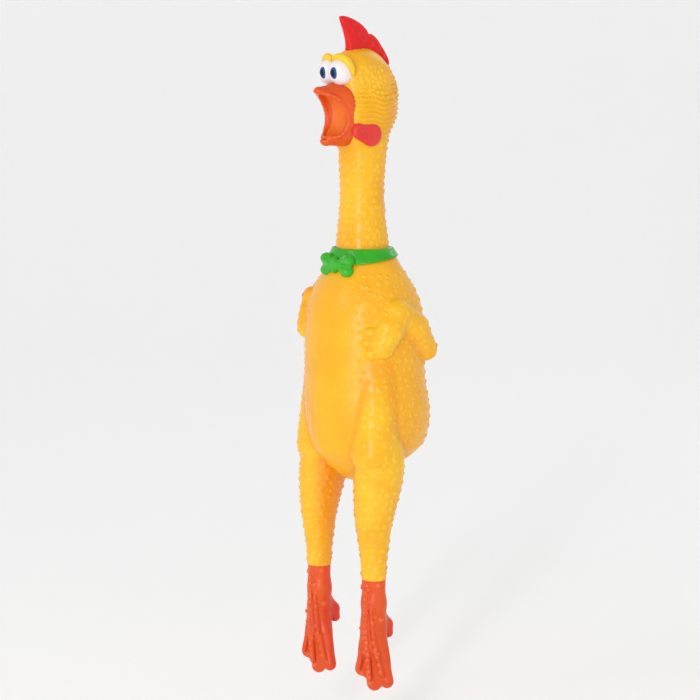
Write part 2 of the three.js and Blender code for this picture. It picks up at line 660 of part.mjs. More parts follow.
function foot(side) {
  const shank = loft([
    station(-FOOT_LENGTH * 0.72, FOOT_WIDTH * 0.36, FOOT_THICKNESS * 0.62, -1),
    station(-FOOT_LENGTH * 0.5, FOOT_WIDTH * 0.31, FOOT_THICKNESS * 0.62, 0),
    station(-FOOT_LENGTH * 0.2, ANKLE_RADIUS * 1.2, ANKLE_RADIUS, 0),
    station(-ANKLE_RADIUS * 0.6, ANKLE_RADIUS * 0.8, ANKLE_RADIUS * 0.8, 0),
  ], { rings: 6, sides: 12 });
  let shape = shank.add(ball([ANKLE_RADIUS, ANKLE_RADIUS, ANKLE_RADIUS], [0, 0, 0], 14));
  const toeRadius = FOOT_WIDTH / TOE_COUNT * 0.56;
  for (let toe = 0; toe < TOE_COUNT; toe += 1) {
    const place = toe - (TOE_COUNT - 1) / 2;
    const inner = place < 0 ? 1 : 0;
    const end = [
      place * (FOOT_WIDTH / 2 - toeRadius),
      -2.5 - 3 * Math.abs(place),
      -FOOT_LENGTH + toeRadius / 2 + inner * 8 + (place > 0 ? 2 : 0),
    ];
    const start = [place * 2.5, 0, -FOOT_LENGTH + TOE_LENGTH];
    shape = shape.add(limbTo(start, end, [toeRadius, FOOT_THICKNESS * 0.5]));
  }
  const spurTop = -FOOT_LENGTH * 0.42;
  const spurTip = [0, SPUR_ROOT_BACK + HALLUX_LENGTH * 0.55, spurTop - HALLUX_LENGTH * 0.7];
  const spur = limbTo([0, SPUR_ROOT_BACK, spurTop], spurTip, [SPUR_RADIUS, SPUR_RADIUS]);
  return mirrored(shape.add(spur), side);
}

// ---- the assembled bird ----

function piece(name, solid, finish) {
  const mesh = new THREE.Mesh(geometryOf(solid), new THREE.MeshStandardMaterial(FINISHES[finish]));
  mesh.name = name;
  return mesh;
}

function groupAt(x, y, z, ...pieces) {
  const group = new THREE.Group();
  group.position.set(x, y, z - GRIP_HEIGHT);
  group.add(...pieces);
  return group;
}

const SIDES = { left: 1, right: -1 };
const beak = beakForms();
const chicken = new THREE.Group();

chicken.add(groupAt(
  0, 0, HEAD_PIVOT,
  piece("head_shell", headShell(), "yellow"),
  piece("comb", comb(), "red"),
  piece("upper_beak", beak.upper, "orange"),
  piece("lower_beak", beak.lower, "orange"),
  piece("mouth_lining", mouthLining(), "lining"),
));

chicken.add(groupAt(
  0, 0, COLLAR_TOP,
  piece("neck_shell", neckShell(), "yellow"),
  piece("throat_ring", throatRing(), "yellow"),
  piece("squawker_housing", squawkerHousing(), "plastic"),
  piece("squawker_cap", squawkerCap(), "plastic"),
  piece("reed_block", reedBlock(), "plastic"),
  piece("squawker_reed", reed(), "plastic"),
));

chicken.add(groupAt(
  0, 0, HIP_HEIGHT,
  piece("torso_shell", torsoShell(), "yellow"),
  piece("collar_band", collarBand(), "green"),
  piece("bow_knot", bowKnot(), "green"),
));

for (const [name, side] of Object.entries(SIDES)) {
  chicken.add(groupAt(
    0, 0, HEAD_PIVOT,
    piece(`eyeball_${name}`, eyeball(side), "white"),
    piece(`eyelid_${name}`, eyelid(side), "brow"),
    piece(`wattle_${name}`, wattle(side), "wattle"),
  ));
  chicken.add(groupAt(
    0, 0, HIP_HEIGHT,
    piece(`bow_loop_${name}`, bowLoop(side), "green"),
    piece(`wing_${name}`, wing(side), "yellow"),
  ));
  chicken.add(groupAt(
    side * HIP_SPREAD, -HIP_FORWARD, HIP_HEIGHT,
    piece(`leg_${name}`, leg(), "yellow"),
  ));
  const footPiece = piece(`foot_${name}`, foot(side), "orange");
  footPiece.rotation.z = side * THREE.MathUtils.degToRad(FOOT_SPLAY_DEG);
  chicken.add(groupAt(side * HIP_SPREAD, -HIP_FORWARD, ANKLE_HEIGHT, footPiece));
}

export default chicken;
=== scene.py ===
"""Rubber chicken: the soft vinyl skins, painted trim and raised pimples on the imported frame.

Every piece is sculpted as a distance field in millimetres, turned into a mesh, then placed in metres.
"""

import json
import logging
import math
from dataclasses import dataclass
from enum import Enum
from typing import Callable, Iterable, Sequence

import bmesh
import bpy
import numpy as np
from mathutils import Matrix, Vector


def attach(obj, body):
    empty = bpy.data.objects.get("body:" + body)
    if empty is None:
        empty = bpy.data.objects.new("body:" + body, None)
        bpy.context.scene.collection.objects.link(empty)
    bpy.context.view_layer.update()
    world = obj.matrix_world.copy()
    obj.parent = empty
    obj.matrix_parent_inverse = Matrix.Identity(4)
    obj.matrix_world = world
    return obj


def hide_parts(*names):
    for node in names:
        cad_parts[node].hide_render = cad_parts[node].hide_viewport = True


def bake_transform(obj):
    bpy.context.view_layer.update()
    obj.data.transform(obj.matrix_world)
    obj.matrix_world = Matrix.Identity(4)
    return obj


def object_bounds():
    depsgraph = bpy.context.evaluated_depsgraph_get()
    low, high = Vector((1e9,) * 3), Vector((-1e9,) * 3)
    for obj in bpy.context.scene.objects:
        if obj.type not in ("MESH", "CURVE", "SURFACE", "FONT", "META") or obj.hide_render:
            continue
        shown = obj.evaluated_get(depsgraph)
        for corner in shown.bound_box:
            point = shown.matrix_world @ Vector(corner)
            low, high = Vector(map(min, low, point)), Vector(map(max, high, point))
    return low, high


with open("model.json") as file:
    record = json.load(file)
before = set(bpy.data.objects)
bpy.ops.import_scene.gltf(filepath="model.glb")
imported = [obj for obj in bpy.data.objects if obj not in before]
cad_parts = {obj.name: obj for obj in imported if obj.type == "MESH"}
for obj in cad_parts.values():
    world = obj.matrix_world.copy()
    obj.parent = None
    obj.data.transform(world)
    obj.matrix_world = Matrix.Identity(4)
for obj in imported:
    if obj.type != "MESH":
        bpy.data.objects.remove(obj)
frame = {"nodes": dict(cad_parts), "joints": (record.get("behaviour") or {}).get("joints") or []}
CAD_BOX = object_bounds()

LOG = logging.getLogger("rubber_chicken")
MM = 0.001
TONE_AND_SHADE = "tone_and_shade"
GRIP = 0.0

Points = np.ndarray
Field = Callable[[Points], np.ndarray]
Color = tuple[float, float, float]
Corner = Sequence[float]


class Side(Enum):
    """The bird's own left and right."""

    LEFT = "left"
    RIGHT = "right"

    @property
    def sign(self) -> float:
        """Which way X runs on this side."""
        return 1.0 if self is Side.LEFT else -1.0


# ---------------------------------------------------------------------------------------------
# Places taken from the frame
# ---------------------------------------------------------------------------------------------


def joint_place(name: str) -> np.ndarray:
    """Find where a joint of the frame turns.

    Args:
        name: The joint's name in the record.

    Returns:
        Its point in millimetres.
    """
    joint = next(one for one in frame["joints"] if one["name"] == name)
    return np.array(joint["pos_m"]) / MM


@dataclass(frozen=True)
class Places:
    """The pivots that every skin is sculpted from, in millimetres."""

    head: np.ndarray
    collar: np.ndarray
    hip: np.ndarray
    ankle: np.ndarray

    @classmethod
    def from_frame(cls) -> "Places":
        """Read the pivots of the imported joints."""
        return cls(
            head=joint_place("head_nod"),
            collar=joint_place("torso_swing"),
            hip=joint_place("hip_left"),
            ankle=joint_place("ankle_left"),
        )


PLACES = Places.from_frame()
HEAD_LIFT = np.array([0.0, 0.0, PLACES.head[2]])


# ---------------------------------------------------------------------------------------------
# Distance fields
# ---------------------------------------------------------------------------------------------


def at(*values: float) -> np.ndarray:
    """A point or a set of radii as an array."""
    return np.array(values, float)


def mirrored(p: Points) -> Points:
    """Fold points onto the bird's left, so that one field makes both sides."""
    folded = p.copy()
    folded[:, 0] = np.abs(folded[:, 0])
    return folded


def egg(p: Points, centre: np.ndarray, radii: np.ndarray) -> np.ndarray:
    """Signed distance to an ellipsoid, near enough for sculpting.

    Args:
        p: Points, one a row.
        centre: The ellipsoid's middle.
        radii: Its three half sizes.

    Returns:
        The distance of each point, negative inside.
    """
    q = (p - centre) / radii
    size = np.linalg.norm(q, axis=1) + 1e-9
    steep = np.linalg.norm(q / radii, axis=1) + 1e-9
    return size * (size - 1.0) / steep


def bar(p: Points, start: np.ndarray, end: np.ndarray, r0: float, r1: float, flat: float = 1.0) -> Points:
    """Signed distance to a round-ended bar whose radius changes along it.

    Args:
        p: Points, one a row.
        start: Middle of the first end.
        end: Middle of the second end.
        r0: Radius at the start.
        r1: Radius at the end.
        flat: Squeezes the bar front to back when it is below 1.

    Returns:
        The distance of each point, negative inside.
    """
    squeeze = at(1.0, 1.0 / flat, 1.0)
    q, a, b = p * squeeze, start * squeeze, end * squeeze
    along = b - a
    t = np.clip((q - a) @ along / (along @ along), 0.0, 1.0)
    away = np.linalg.norm(q - a - t[:, None] * along, axis=1)
    return (away - (r0 + t * (r1 - r0))) * flat


def melt(a: np.ndarray, b: np.ndarray, soft: float) -> np.ndarray:
    """Join two fields with a fillet of about the given size."""
    h = np.clip(0.5 + 0.5 * (b - a) / soft, 0.0, 1.0)
    return b + (a - b) * h - soft * h * (1.0 - h)


def carve(a: np.ndarray, b: np.ndarray, soft: float) -> np.ndarray:
    """Cut the second field out of the first, with a rounded edge."""
    return -melt(-a, b, soft)


def keep(a: np.ndarray, b: np.ndarray, soft: float) -> np.ndarray:
    """Keep what lies in both fields, with a rounded edge."""
    return -melt(-a, -b, soft)


def string(p: Points, route: Sequence[np.ndarray], radii: Sequence[float], soft: float = 1.0) -> np.ndarray:
    """A chain of bars through the points of a route, melted together."""
    field = bar(p, route[0], route[1], radii[0], radii[1])
    for i in range(1, len(route) - 1):
        field = melt(field, bar(p, route[i], route[i + 1], radii[i], radii[i + 1]), soft)
    return field


def curve_through(knots: Sequence[Sequence[float]], count: int, closed: bool = False) -> np.ndarray:
    """Sample a smooth curve through the knots.

    Args:
        knots: The points that the curve passes.
        count: How many samples to return.
        closed: Whether the curve returns to its first knot.

    Returns:
        The samples, one a row.
    """
    pts = np.array(knots, float)
    spans = len(pts) if closed else len(pts) - 1
    out = []
    for s in np.linspace(0.0, spans, count, endpoint=not closed):
        i = min(int(s), spans - 1)
        t = s - i
        if closed:
            p0, p1, p2, p3 = (pts[(i + k) % len(pts)] for k in (-1, 0, 1, 2))
        else:
            p1, p2 = pts[i], pts[i + 1]
            p0 = pts[i - 1] if i > 0 else 2 * p1 - p2
            p3 = pts[i + 2] if i + 2 < len(pts) else 2 * p2 - p1
        cubic = 2 * p1 + (p2 - p0) * t + (2 * p0 - 5 * p1 + 4 * p2 - p3) * t * t
        out.append(0.5 * (cubic + (3 * p1 - p0 - 3 * p2 + p3) * t ** 3))
    return np.array(out)


class Trunk:
    """A skin of oval sections stacked along Z, with domed ends."""

    def __init__(self, stations: Sequence[tuple[float, float, float, float]], domes: tuple[float, float]):
        """Sample the stations once.

        Args:
            stations: Height, half width, half depth and set-back of each section, lowest first.
            domes: How deep the bottom and top are rounded, 0 for a flat end.
        """
        table = curve_through(stations, 240)
        self.heights = table[:, 0]
        self.sizes = table[:, 1:]
        self.bottom, self.top = float(self.heights[0]), float(self.heights[-1])
        self.domes = domes

    def section(self, z: np.ndarray) -> tuple[np.ndarray, np.ndarray, np.ndarray]:
        """Half width, half depth and set-back at each height."""
        return tuple(np.interp(z, self.heights, self.sizes[:, k]) for k in range(3))

    def field(self, p: Points) -> np.ndarray:
        """Signed distance of each point, near enough for sculpting."""
        z = p[:, 2]
        wide, deep, back = self.section(z)
        shrink = np.ones(len(p))
        for depth, rise in ((self.domes[0], z - self.bottom), (self.domes[1], self.top - z)):
            if depth > 0:
                t = np.clip(rise / depth, 0.0, 1.0)
                shrink = shrink * np.sqrt(np.clip(1.0 - (1.0 - t) ** 2, 0.0, 1.0))
        wide = np.maximum(wide * shrink, 0.3)
        deep = np.maximum(deep * shrink, 0.3)
        x, y = p[:, 0] / wide, (p[:, 1] - back) / deep
        size = np.hypot(x, y) + 1e-9
        steep = np.hypot(x / wide, y / deep) + 1e-9
        side = size * (size - 1.0) / steep
        ends = np.maximum(self.bottom - z, z - self.top)
        return np.maximum(side, ends)

    def on(self, around: float, height: float, lift: float = 0.0) -> np.ndarray:
        """A point of the skin.

        Args:
            around: Degrees from the breast towards the bird's left.
            height: The point's height.
            lift: How far off the skin it stands.

        Returns:
            The point.
        """
        wide, deep, back = (float(v) for v in self.section(np.array([height])))
        turn = math.radians(around)
        return at((wide + lift) * math.sin(turn), back - (deep + lift) * math.cos(turn), height)


# ---------------------------------------------------------------------------------------------
# From fields to meshes
# ---------------------------------------------------------------------------------------------

CORNERS = np.array([(i, j, k) for i in (0, 1) for j in (0, 1) for k in (0, 1)])
EDGES = [(a, b) for a in range(8) for b in range(8) if a < b and np.abs(CORNERS[a] - CORNERS[b]).sum() == 1]


def in_parts(field: Field, p: Points, size: int = 200_000) -> np.ndarray:
    """Evaluate a field a stretch of points at a time, to keep memory low."""
    return np.concatenate([field(p[i:i + size]) for i in range(0, len(p), size)])


def slopes(field: Field, p: Points, reach: float = 0.05) -> np.ndarray:
    """Direction in which the field grows at each point."""
    out = np.empty_like(p)
    for axis in range(3):
        step = np.zeros(3)
        step[axis] = reach
        out[:, axis] = in_parts(field, p + step) - in_parts(field, p - step)
    return out / (2 * reach)


def settle(field: Field, p: Points, rounds: int = 3) -> np.ndarray:
    """Slide points onto the field's surface."""
    for _ in range(rounds):
        grad = slopes(field, p)
        size = np.maximum((grad ** 2).sum(axis=1), 0.05)
        move = grad * (in_parts(field, p) / size)[:, None]
        length = np.linalg.norm(move, axis=1, keepdims=True)
        p = p - move * np.minimum(1.0, 0.6 / np.maximum(length, 1e-9))
    return p


def sculpt(field: Field, low: Corner, high: Corner, step: float) -> tuple[Points, np.ndarray]:
    """Wrap a closed net of quads round the inside of a field.

    Args:
        field: Signed distance in millimetres.
        low: Lowest corner of the box to search.
        high: Highest corner of it.
        step: Size of the net's squares.

    Returns:
        The points, and the four corners of each face.
    """
    axes = [np.arange(low[k], high[k] + step, step) for k in range(3)]
    shape = tuple(len(axis) for axis in axes)
    coarse = np.stack(np.meshgrid(*axes, indexing="ij"), axis=-1).reshape(-1, 3)
    values = in_parts(field, coarse).reshape(shape)
    inside = values < 0
    cells = tuple(n - 1 for n in shape)
    count = np.zeros(cells, np.int8)
    for i, j, k in CORNERS:
        count += inside[i:i + cells[0], j:j + cells[1], k:k + cells[2]]
    crossed = (count > 0) & (count < 8)
    where = np.argwhere(crossed)
    number = -np.ones(cells, np.int64)
    number[crossed] = np.arange(len(where))
    total = np.zeros((len(where), 3))
    hits = np.zeros(len(where))
    for a, b in EDGES:
        va = values[tuple((where + CORNERS[a]).T)]
        vb = values[tuple((where + CORNERS[b]).T)]
        cut = (va < 0) != (vb < 0)
        t = np.where(cut, va / np.where(cut, va - vb, 1.0), 0.0)
        total += np.where(cut[:, None], CORNERS[a] + t[:, None] * (CORNERS[b] - CORNERS[a]), 0.0)
        hits += cut
    points = np.array(low) + step * (where + total / hits[:, None])
    faces = []
    for axis in range(3):
        u, v = (axis + 1) % 3, (axis + 2) % 3
        nearer = np.take(inside, range(0, shape[axis] - 1), axis)
        further = np.take(inside, range(1, shape[axis]), axis)
        for mask, flip in ((nearer & ~further, False), (further & ~nearer, True)):
            spot = np.argwhere(mask)
            held = (spot[:, u] > 0) & (spot[:, v] > 0) & (spot[:, u] < cells[u]) & (spot[:, v] < cells[v])
            spot = spot[held]
            ring = []
            for du, dv in ((-1, -1), (0, -1), (0, 0), (-1, 0)):
                near = spot.copy()
                near[:, u] += du
                near[:, v] += dv
                ring.append(number[tuple(near.T)])
            quad = np.stack(ring, axis=1)
            faces.append(quad[:, ::-1] if flip else quad)
    return settle(field, points), np.concatenate(faces)


def mesh_piece(name: str, points: Points, faces: Iterable[Sequence[int]]) -> bpy.types.Object:
    """Make a smooth object of points in millimetres, placed in metres."""
    mesh = bpy.data.meshes.new(name)
    mesh.from_pydata((np.asarray(points) * MM).tolist(), [], [list(map(int, f)) for f in faces])
    mesh.validate()
    mesh.shade_smooth()
    piece = bpy.data.objects.new(name, mesh)
    bpy.context.scene.collection.objects.link(piece)
    return piece


def sculpted(
    name: str, field: Field, low: Corner, high: Corner, step: float, lift: float | np.ndarray = 0.0
) -> bpy.types.Object:
    """Sculpt a field, make it an object and lift it to its place."""
    points, faces = sculpt(field, low, high, step)
    return mesh_piece(name, points + lift, faces)


def trim(piece: bpy.types.Object, height: float, above: bool) -> None:
    """Cut a piece level, keep one side of it, and close the cut.

    Args:
        piece: The object to cut.
        height: Height of the cut in millimetres.
        above: Whether the part above the cut is kept.
    """
    net = bmesh.new()
    net.from_mesh(piece.data)
    cut = bmesh.ops.bisect_plane(
        net,
        geom=net.verts[:] + net.edges[:] + net.faces[:],
        plane_co=(0.0, 0.0, height * MM),
        plane_no=(0.0, 0.0, 1.0),
        clear_inner=above,
        clear_outer=not above,
    )
    rim = [e for e in cut["geom_cut"] if isinstance(e, bmesh.types.BMEdge) and e.is_boundary]
    caps = bmesh.ops.holes_fill(net, edges=rim, sides=0)["faces"]
    for cap in caps:
        cap.smooth = False
        for edge in cap.edges:
            edge.smooth = False
    bmesh.ops.triangulate(net, faces=caps)
    net.to_mesh(piece.data)
    net.free()


# ---------------------------------------------------------------------------------------------
# Finishes
# ---------------------------------------------------------------------------------------------


class Gloss(Enum):
    """How shiny a vinyl is: its roughness and the strength of its shine."""

    WET = (0.13, 0.32)
    SOFT = (0.27, 0.42)
    SATIN = (0.36, 0.3)


@dataclass(frozen=True)
class Vinyl:
    """A soft vinyl finish: its colour, how it drifts over the surface, how it shines, and a deeper colour
    mixed in where it is stored, partly its own deeper colour and partly painted shade.
    """

    name: str
    base: Color
    deep: Color
    pale: Color
    gloss: Gloss = Gloss.SOFT
    glow: float = 0.08
    drift: float = 38.0
    grain: float = 0.05
    speck: float = 620.0
    polished: float = 0.06
    scuffed: float = 0.09
    deep_until: float = 0.28
    pale_from: float = 0.74
    speckle: float = 0.10
    grain_depth: float = 0.0004
    bending: float = 1.48
    glow_reach: float = 0.006
    glow_tint: Color = (1.0, 0.42, 0.08)
    # Deeper colour mixed in by the stored attribute: painted shade in the thigh creases and on the inner
    # and rear sides of legs and feet, elsewhere a deeper colour of the vinyl's own.
    tone_and_shade_color: Color = (0.88, 0.31, 0.004)

    def make(self) -> bpy.types.Material:
        """Build the finish's nodes.

        Returns:
            The material.
        """
        material = bpy.data.materials.new(self.name)
        material.use_nodes = True
        nodes, links = material.node_tree.nodes, material.node_tree.links
        shader = nodes["Principled BSDF"]
        place = nodes.new("ShaderNodeTexCoord")
        clouds = nodes.new("ShaderNodeTexNoise")
        clouds.inputs["Scale"].default_value = self.drift
        clouds.inputs["Detail"].default_value = 3.0
        links.new(place.outputs["Object"], clouds.inputs["Vector"])
        ramp = nodes.new("ShaderNodeValToRGB")
        stops = ramp.color_ramp.elements
        stops[0].position, stops[0].color = self.deep_until, (*self.deep, 1.0)
        stops[1].position, stops[1].color = self.pale_from, (*self.pale, 1.0)
        middle = ramp.color_ramp.elements.new(0.5)
        middle.color = (*self.base, 1.0)
        links.new(clouds.outputs["Fac"], ramp.inputs["Fac"])
        specks = nodes.new("ShaderNodeTexNoise")
        specks.inputs["Scale"].default_value = self.speck
        specks.inputs["Detail"].default_value = 2.0
        links.new(place.outputs["Object"], specks.inputs["Vector"])
        tint = nodes.new("ShaderNodeMix")
        tint.data_type = "RGBA"
        tint.blend_type = "OVERLAY"
        tint.inputs["Factor"].default_value = self.speckle
        links.new(ramp.outputs["Color"], tint.inputs[6])
        links.new(specks.outputs["Color"], tint.inputs[7])
        # The stored attribute mixes in the deeper colour: painted shade in creases and between legs and
        # feet, elsewhere a deeper colour of the vinyl's own.
        tone_and_shade = nodes.new("ShaderNodeAttribute")
        tone_and_shade.attribute_name = TONE_AND_SHADE
        tone_and_shade_mix = nodes.new("ShaderNodeMix")
        tone_and_shade_mix.data_type = "RGBA"
        tone_and_shade_mix.inputs[7].default_value = (*self.tone_and_shade_color, 1.0)
        links.new(tone_and_shade.outputs["Fac"], tone_and_shade_mix.inputs["Factor"])
        links.new(tint.outputs[2], tone_and_shade_mix.inputs[6])
        links.new(tone_and_shade_mix.outputs[2], shader.inputs["Base Color"])
        self.shine(nodes, links, shader, specks, clouds)
        return material

    def shine(self, nodes, links, shader, specks, clouds) -> None:
        """Set the gloss, the inner glow and the fine grain.

        Args:
            nodes: The material's nodes.
            links: The material's links.
            shader: The shader to set.
            specks: Fine noise for the grain.
            clouds: Broad noise for worn patches.
        """
        rough, shine = self.gloss.value
        worn = nodes.new("ShaderNodeMapRange")
        worn.inputs["To Min"].default_value = rough - self.polished
        worn.inputs["To Max"].default_value = rough + self.scuffed
        links.new(clouds.outputs["Fac"], worn.inputs["Value"])
        links.new(worn.outputs["Result"], shader.inputs["Roughness"])
        grain = nodes.new("ShaderNodeBump")
        grain.inputs["Strength"].default_value = self.grain
        grain.inputs["Distance"].default_value = self.grain_depth
        links.new(specks.outputs["Fac"], grain.inputs["Height"])
        links.new(grain.outputs["Normal"], shader.inputs["Normal"])
        shader.inputs["IOR"].default_value = self.bending
        shader.inputs["Specular IOR Level"].default_value = shine
        shader.inputs["Subsurface Weight"].default_value = self.glow
        shader.inputs["Subsurface Radius"].default_value = self.glow_tint
        shader.inputs["Subsurface Scale"].default_value = self.glow_reach


# Deeper red painted into the feet and their beads as shade behind and on their inner sides.
SHADE_RED = (0.70, 0.03, 0.012)
YELLOW = Vinyl("yellow_vinyl", (0.92, 0.47, 0.010), (0.90, 0.40, 0.007), (0.94, 0.54, 0.018))
PIMPLE_YELLOW = Vinyl(
    "pimple_yellow", (0.94, 0.51, 0.016), (0.92, 0.45, 0.01), (0.96, 0.57, 0.024), Gloss.SOFT, 0.0,
)
PIMPLE_ORANGE = Vinyl(
    "pimple_orange", (0.82, 0.105, 0.012), (0.79, 0.085, 0.01), (0.86, 0.14, 0.02), Gloss.SOFT, 0.0,
    tone_and_shade_color=SHADE_RED,
)
BROW = Vinyl("brow_vinyl", (0.94, 0.55, 0.02), (0.92, 0.49, 0.015), (0.96, 0.61, 0.03))
COMB_RED = Vinyl(
    "comb_red", (0.75, 0.006, 0.008), (0.68, 0.004, 0.006), (0.79, 0.012, 0.013), Gloss.WET, 0.05,
)
WATTLE_RED = Vinyl(
    "wattle_red", (0.76, 0.038, 0.030), (0.71, 0.026, 0.022), (0.80, 0.062, 0.043), Gloss.SOFT, 0.05,
)
BEAK_ORANGE = Vinyl(
    "beak_orange", (0.76, 0.094, 0.008), (0.71, 0.072, 0.007), (0.81, 0.128, 0.014), Gloss.SOFT, 0.05,
)
LINING_ORANGE = Vinyl(
    "lining_orange", (0.86, 0.195, 0.018), (0.83, 0.15, 0.018), (0.89, 0.24, 0.025), Gloss.SATIN, 0.05,
)
FOOT_ORANGE = Vinyl(
    "foot_orange", (0.73, 0.078, 0.006), (0.68, 0.055, 0.005), (0.78, 0.115, 0.012), Gloss.SOFT, 0.05,
    tone_and_shade_color=SHADE_RED,
)
COLLAR_GREEN = Vinyl(
    "collar_green", (0.036, 0.42, 0.022), (0.022, 0.33, 0.016), (0.07, 0.50, 0.035), Gloss.WET, 0.05,
)
EYE_WHITE = Vinyl("eye_white", (0.86, 0.80, 0.80), (0.84, 0.74, 0.74), (0.90, 0.87, 0.87), Gloss.WET, 0.05)
IRIS_BLUE = Vinyl(
    "iris_blue", (0.012, 0.09, 0.27), (0.008, 0.05, 0.17), (0.02, 0.15, 0.38), Gloss.SATIN, 0.0,
)
PUPIL_BLACK = Vinyl(
    "pupil_black", (0.004, 0.008, 0.016), (0.003, 0.004, 0.008), (0.006, 0.014, 0.03), Gloss.SATIN, 0.0,
)
TUBE_PLASTIC = Vinyl(
    "tube_plastic", (0.80, 0.78, 0.72), (0.76, 0.74, 0.68), (0.83, 0.81, 0.76), Gloss.SATIN, 0.05,
)


def shade(piece: bpy.types.Object, tone_and_shade: Callable[[Points], np.ndarray]) -> None:
    """Store how deep the vinyl's colour runs at each point of a piece: painted shade in creases and on the
    inner and rear sides of legs and feet, elsewhere a deeper colour of its own.

    Args:
        piece: The object to mark.
        tone_and_shade: Gives 0 for the plain colour to 1 for the deepest, from points in millimetres.
    """
    spots = np.empty(len(piece.data.vertices) * 3)
    piece.data.vertices.foreach_get("co", spots)
    layer = piece.data.attributes.new(TONE_AND_SHADE, "FLOAT", "POINT")
    layer.data.foreach_set("value", np.clip(tone_and_shade(spots.reshape(-1, 3) / MM), 0.0, 1.0))


def dress(piece: bpy.types.Object, material: bpy.types.Material, slot: str = "") -> None:
    """Give a piece its only material."""
    piece.data.materials.clear()
    piece.data.materials.append(material)


# ---------------------------------------------------------------------------------------------
# Raised pimples
# ---------------------------------------------------------------------------------------------


@dataclass(frozen=True)
class Pimples:
    """Rows of small raised domes scattered by a node tree over chosen points."""

    radius: float
    rise: float
    seed: int = 7
    spokes: int = 8

    def dome(self) -> bpy.types.Object:
        """One low dome with a skirt that runs into the skin."""
        profile = [(1.35, -0.16), (1.0, 0.10), (0.68, 0.52), (0.32, 0.90)]
        points = [
            (r * self.radius * math.cos(a), r * self.radius * math.sin(a), h * self.rise)
            for r, h in profile
            for a in (2 * math.pi * k / self.spokes for k in range(self.spokes))
        ]
        points.append((0.0, 0.0, self.rise))
        n = self.spokes
        faces = [
            (ring * n + k, ring * n + (k + 1) % n, (ring + 1) * n + (k + 1) % n, (ring + 1) * n + k)
            for ring in range(len(profile) - 1)
            for k in range(n)
        ]
        last = (len(profile) - 1) * n
        faces += [(last + k, last + (k + 1) % n, len(points) - 1) for k in range(n)]
        return mesh_piece("pimple_dome", np.array(points), faces)

    def tree(self) -> bpy.types.NodeTree:
        """The node tree that stands a dome on every point, along its aim."""
        tree = bpy.data.node_groups.new("pimple_rows", "GeometryNodeTree")
        face = tree.interface
        for name, kind in (
            ("Geometry", "Geometry"), ("Dome", "Object"), ("Finish", "Material"),
            ("Smallest", "Float"), ("Largest", "Float"), ("Seed", "Int"),
        ):
            face.new_socket(name, in_out="INPUT", socket_type=f"NodeSocket{kind}")
        face.new_socket("Geometry", in_out="OUTPUT", socket_type="NodeSocketGeometry")
        nodes, links = tree.nodes, tree.links
        given, result = nodes.new("NodeGroupInput"), nodes.new("NodeGroupOutput")
        dome = nodes.new("GeometryNodeObjectInfo")
        aim = nodes.new("GeometryNodeInputNamedAttribute")
        aim.data_type = "FLOAT_VECTOR"
        aim.inputs["Name"].default_value = "aim"
        swell = nodes.new("GeometryNodeInputNamedAttribute")
        swell.data_type = "FLOAT"
        swell.inputs["Name"].default_value = "swell"
        turn = nodes.new("FunctionNodeAlignRotationToVector")
        turn.axis = "Z"
        spread = nodes.new("FunctionNodeRandomValue")
        spread.data_type = "FLOAT"
        sized = nodes.new("ShaderNodeMath")
        sized.operation = "MULTIPLY"
        stand = nodes.new("GeometryNodeInstanceOnPoints")
        real = nodes.new("GeometryNodeRealizeInstances")
        paint = nodes.new("GeometryNodeSetMaterial")
        smallest = next(s for s in spread.inputs if s.name == "Min" and s.type == "VALUE")
        largest = next(s for s in spread.inputs if s.name == "Max" and s.type == "VALUE")
        chosen = next(s for s in spread.outputs if s.type == "VALUE")
        for outlet, inlet in (
            (given.outputs["Dome"], dome.inputs["Object"]),
            (given.outputs["Smallest"], smallest),
            (given.outputs["Largest"], largest),
            (given.outputs["Seed"], spread.inputs["Seed"]),
            (chosen, sized.inputs[0]),
            (swell.outputs["Attribute"], sized.inputs[1]),
            (aim.outputs["Attribute"], turn.inputs["Vector"]),
            (given.outputs["Geometry"], stand.inputs["Points"]),
            (dome.outputs["Geometry"], stand.inputs["Instance"]),
            (turn.outputs["Rotation"], stand.inputs["Rotation"]),
            (sized.outputs["Value"], stand.inputs["Scale"]),
            (stand.outputs["Instances"], real.inputs["Geometry"]),
            (real.outputs["Geometry"], paint.inputs["Geometry"]),
            (given.outputs["Finish"], paint.inputs["Material"]),
            (paint.outputs["Geometry"], result.inputs["Geometry"]),
        ):
            links.new(outlet, inlet)
        return tree

    def grow(self, name: str, points: Points, aims: Points, swell: np.ndarray, finish: bpy.types.Material):
        """Stand the domes and return them as one plain mesh.

        Args:
            name: The new piece's name.
            points: Where each dome stands, in millimetres.
            aims: The direction that each points in.
            swell: How large each is, 1 for the usual size.
            finish: Their material.

        Returns:
            The piece.
        """
        guide = mesh_piece(f"{name}_guide", points, [])
        for key, kind, values in (("aim", "FLOAT_VECTOR", aims), ("swell", "FLOAT", swell)):
            layer = guide.data.attributes.new(key, kind, "POINT")
            layer.data.foreach_set("vector" if kind == "FLOAT_VECTOR" else "value", np.ravel(values))
        dome = self.dome()
        modifier = guide.modifiers.new("pimples", "NODES")
        modifier.node_group = self.tree()
        given = {"Dome": dome, "Finish": finish, "Smallest": 0.8, "Largest": 1.12, "Seed": self.seed}
        for socket in modifier.node_group.interface.items_tree:
            if socket.in_out == "INPUT" and socket.name in given:
                modifier[socket.identifier] = given[socket.name]
        graph = bpy.context.evaluated_depsgraph_get()
        mesh = bpy.data.meshes.new_from_object(guide.evaluated_get(graph))
        mesh.name = name
        guide.modifiers.clear()
        piece = bpy.data.objects.new(name, mesh)
        bpy.context.scene.collection.objects.link(piece)
        mesh.shade_smooth()
        for helper in (guide, dome):
            bpy.data.objects.remove(helper)
        return piece


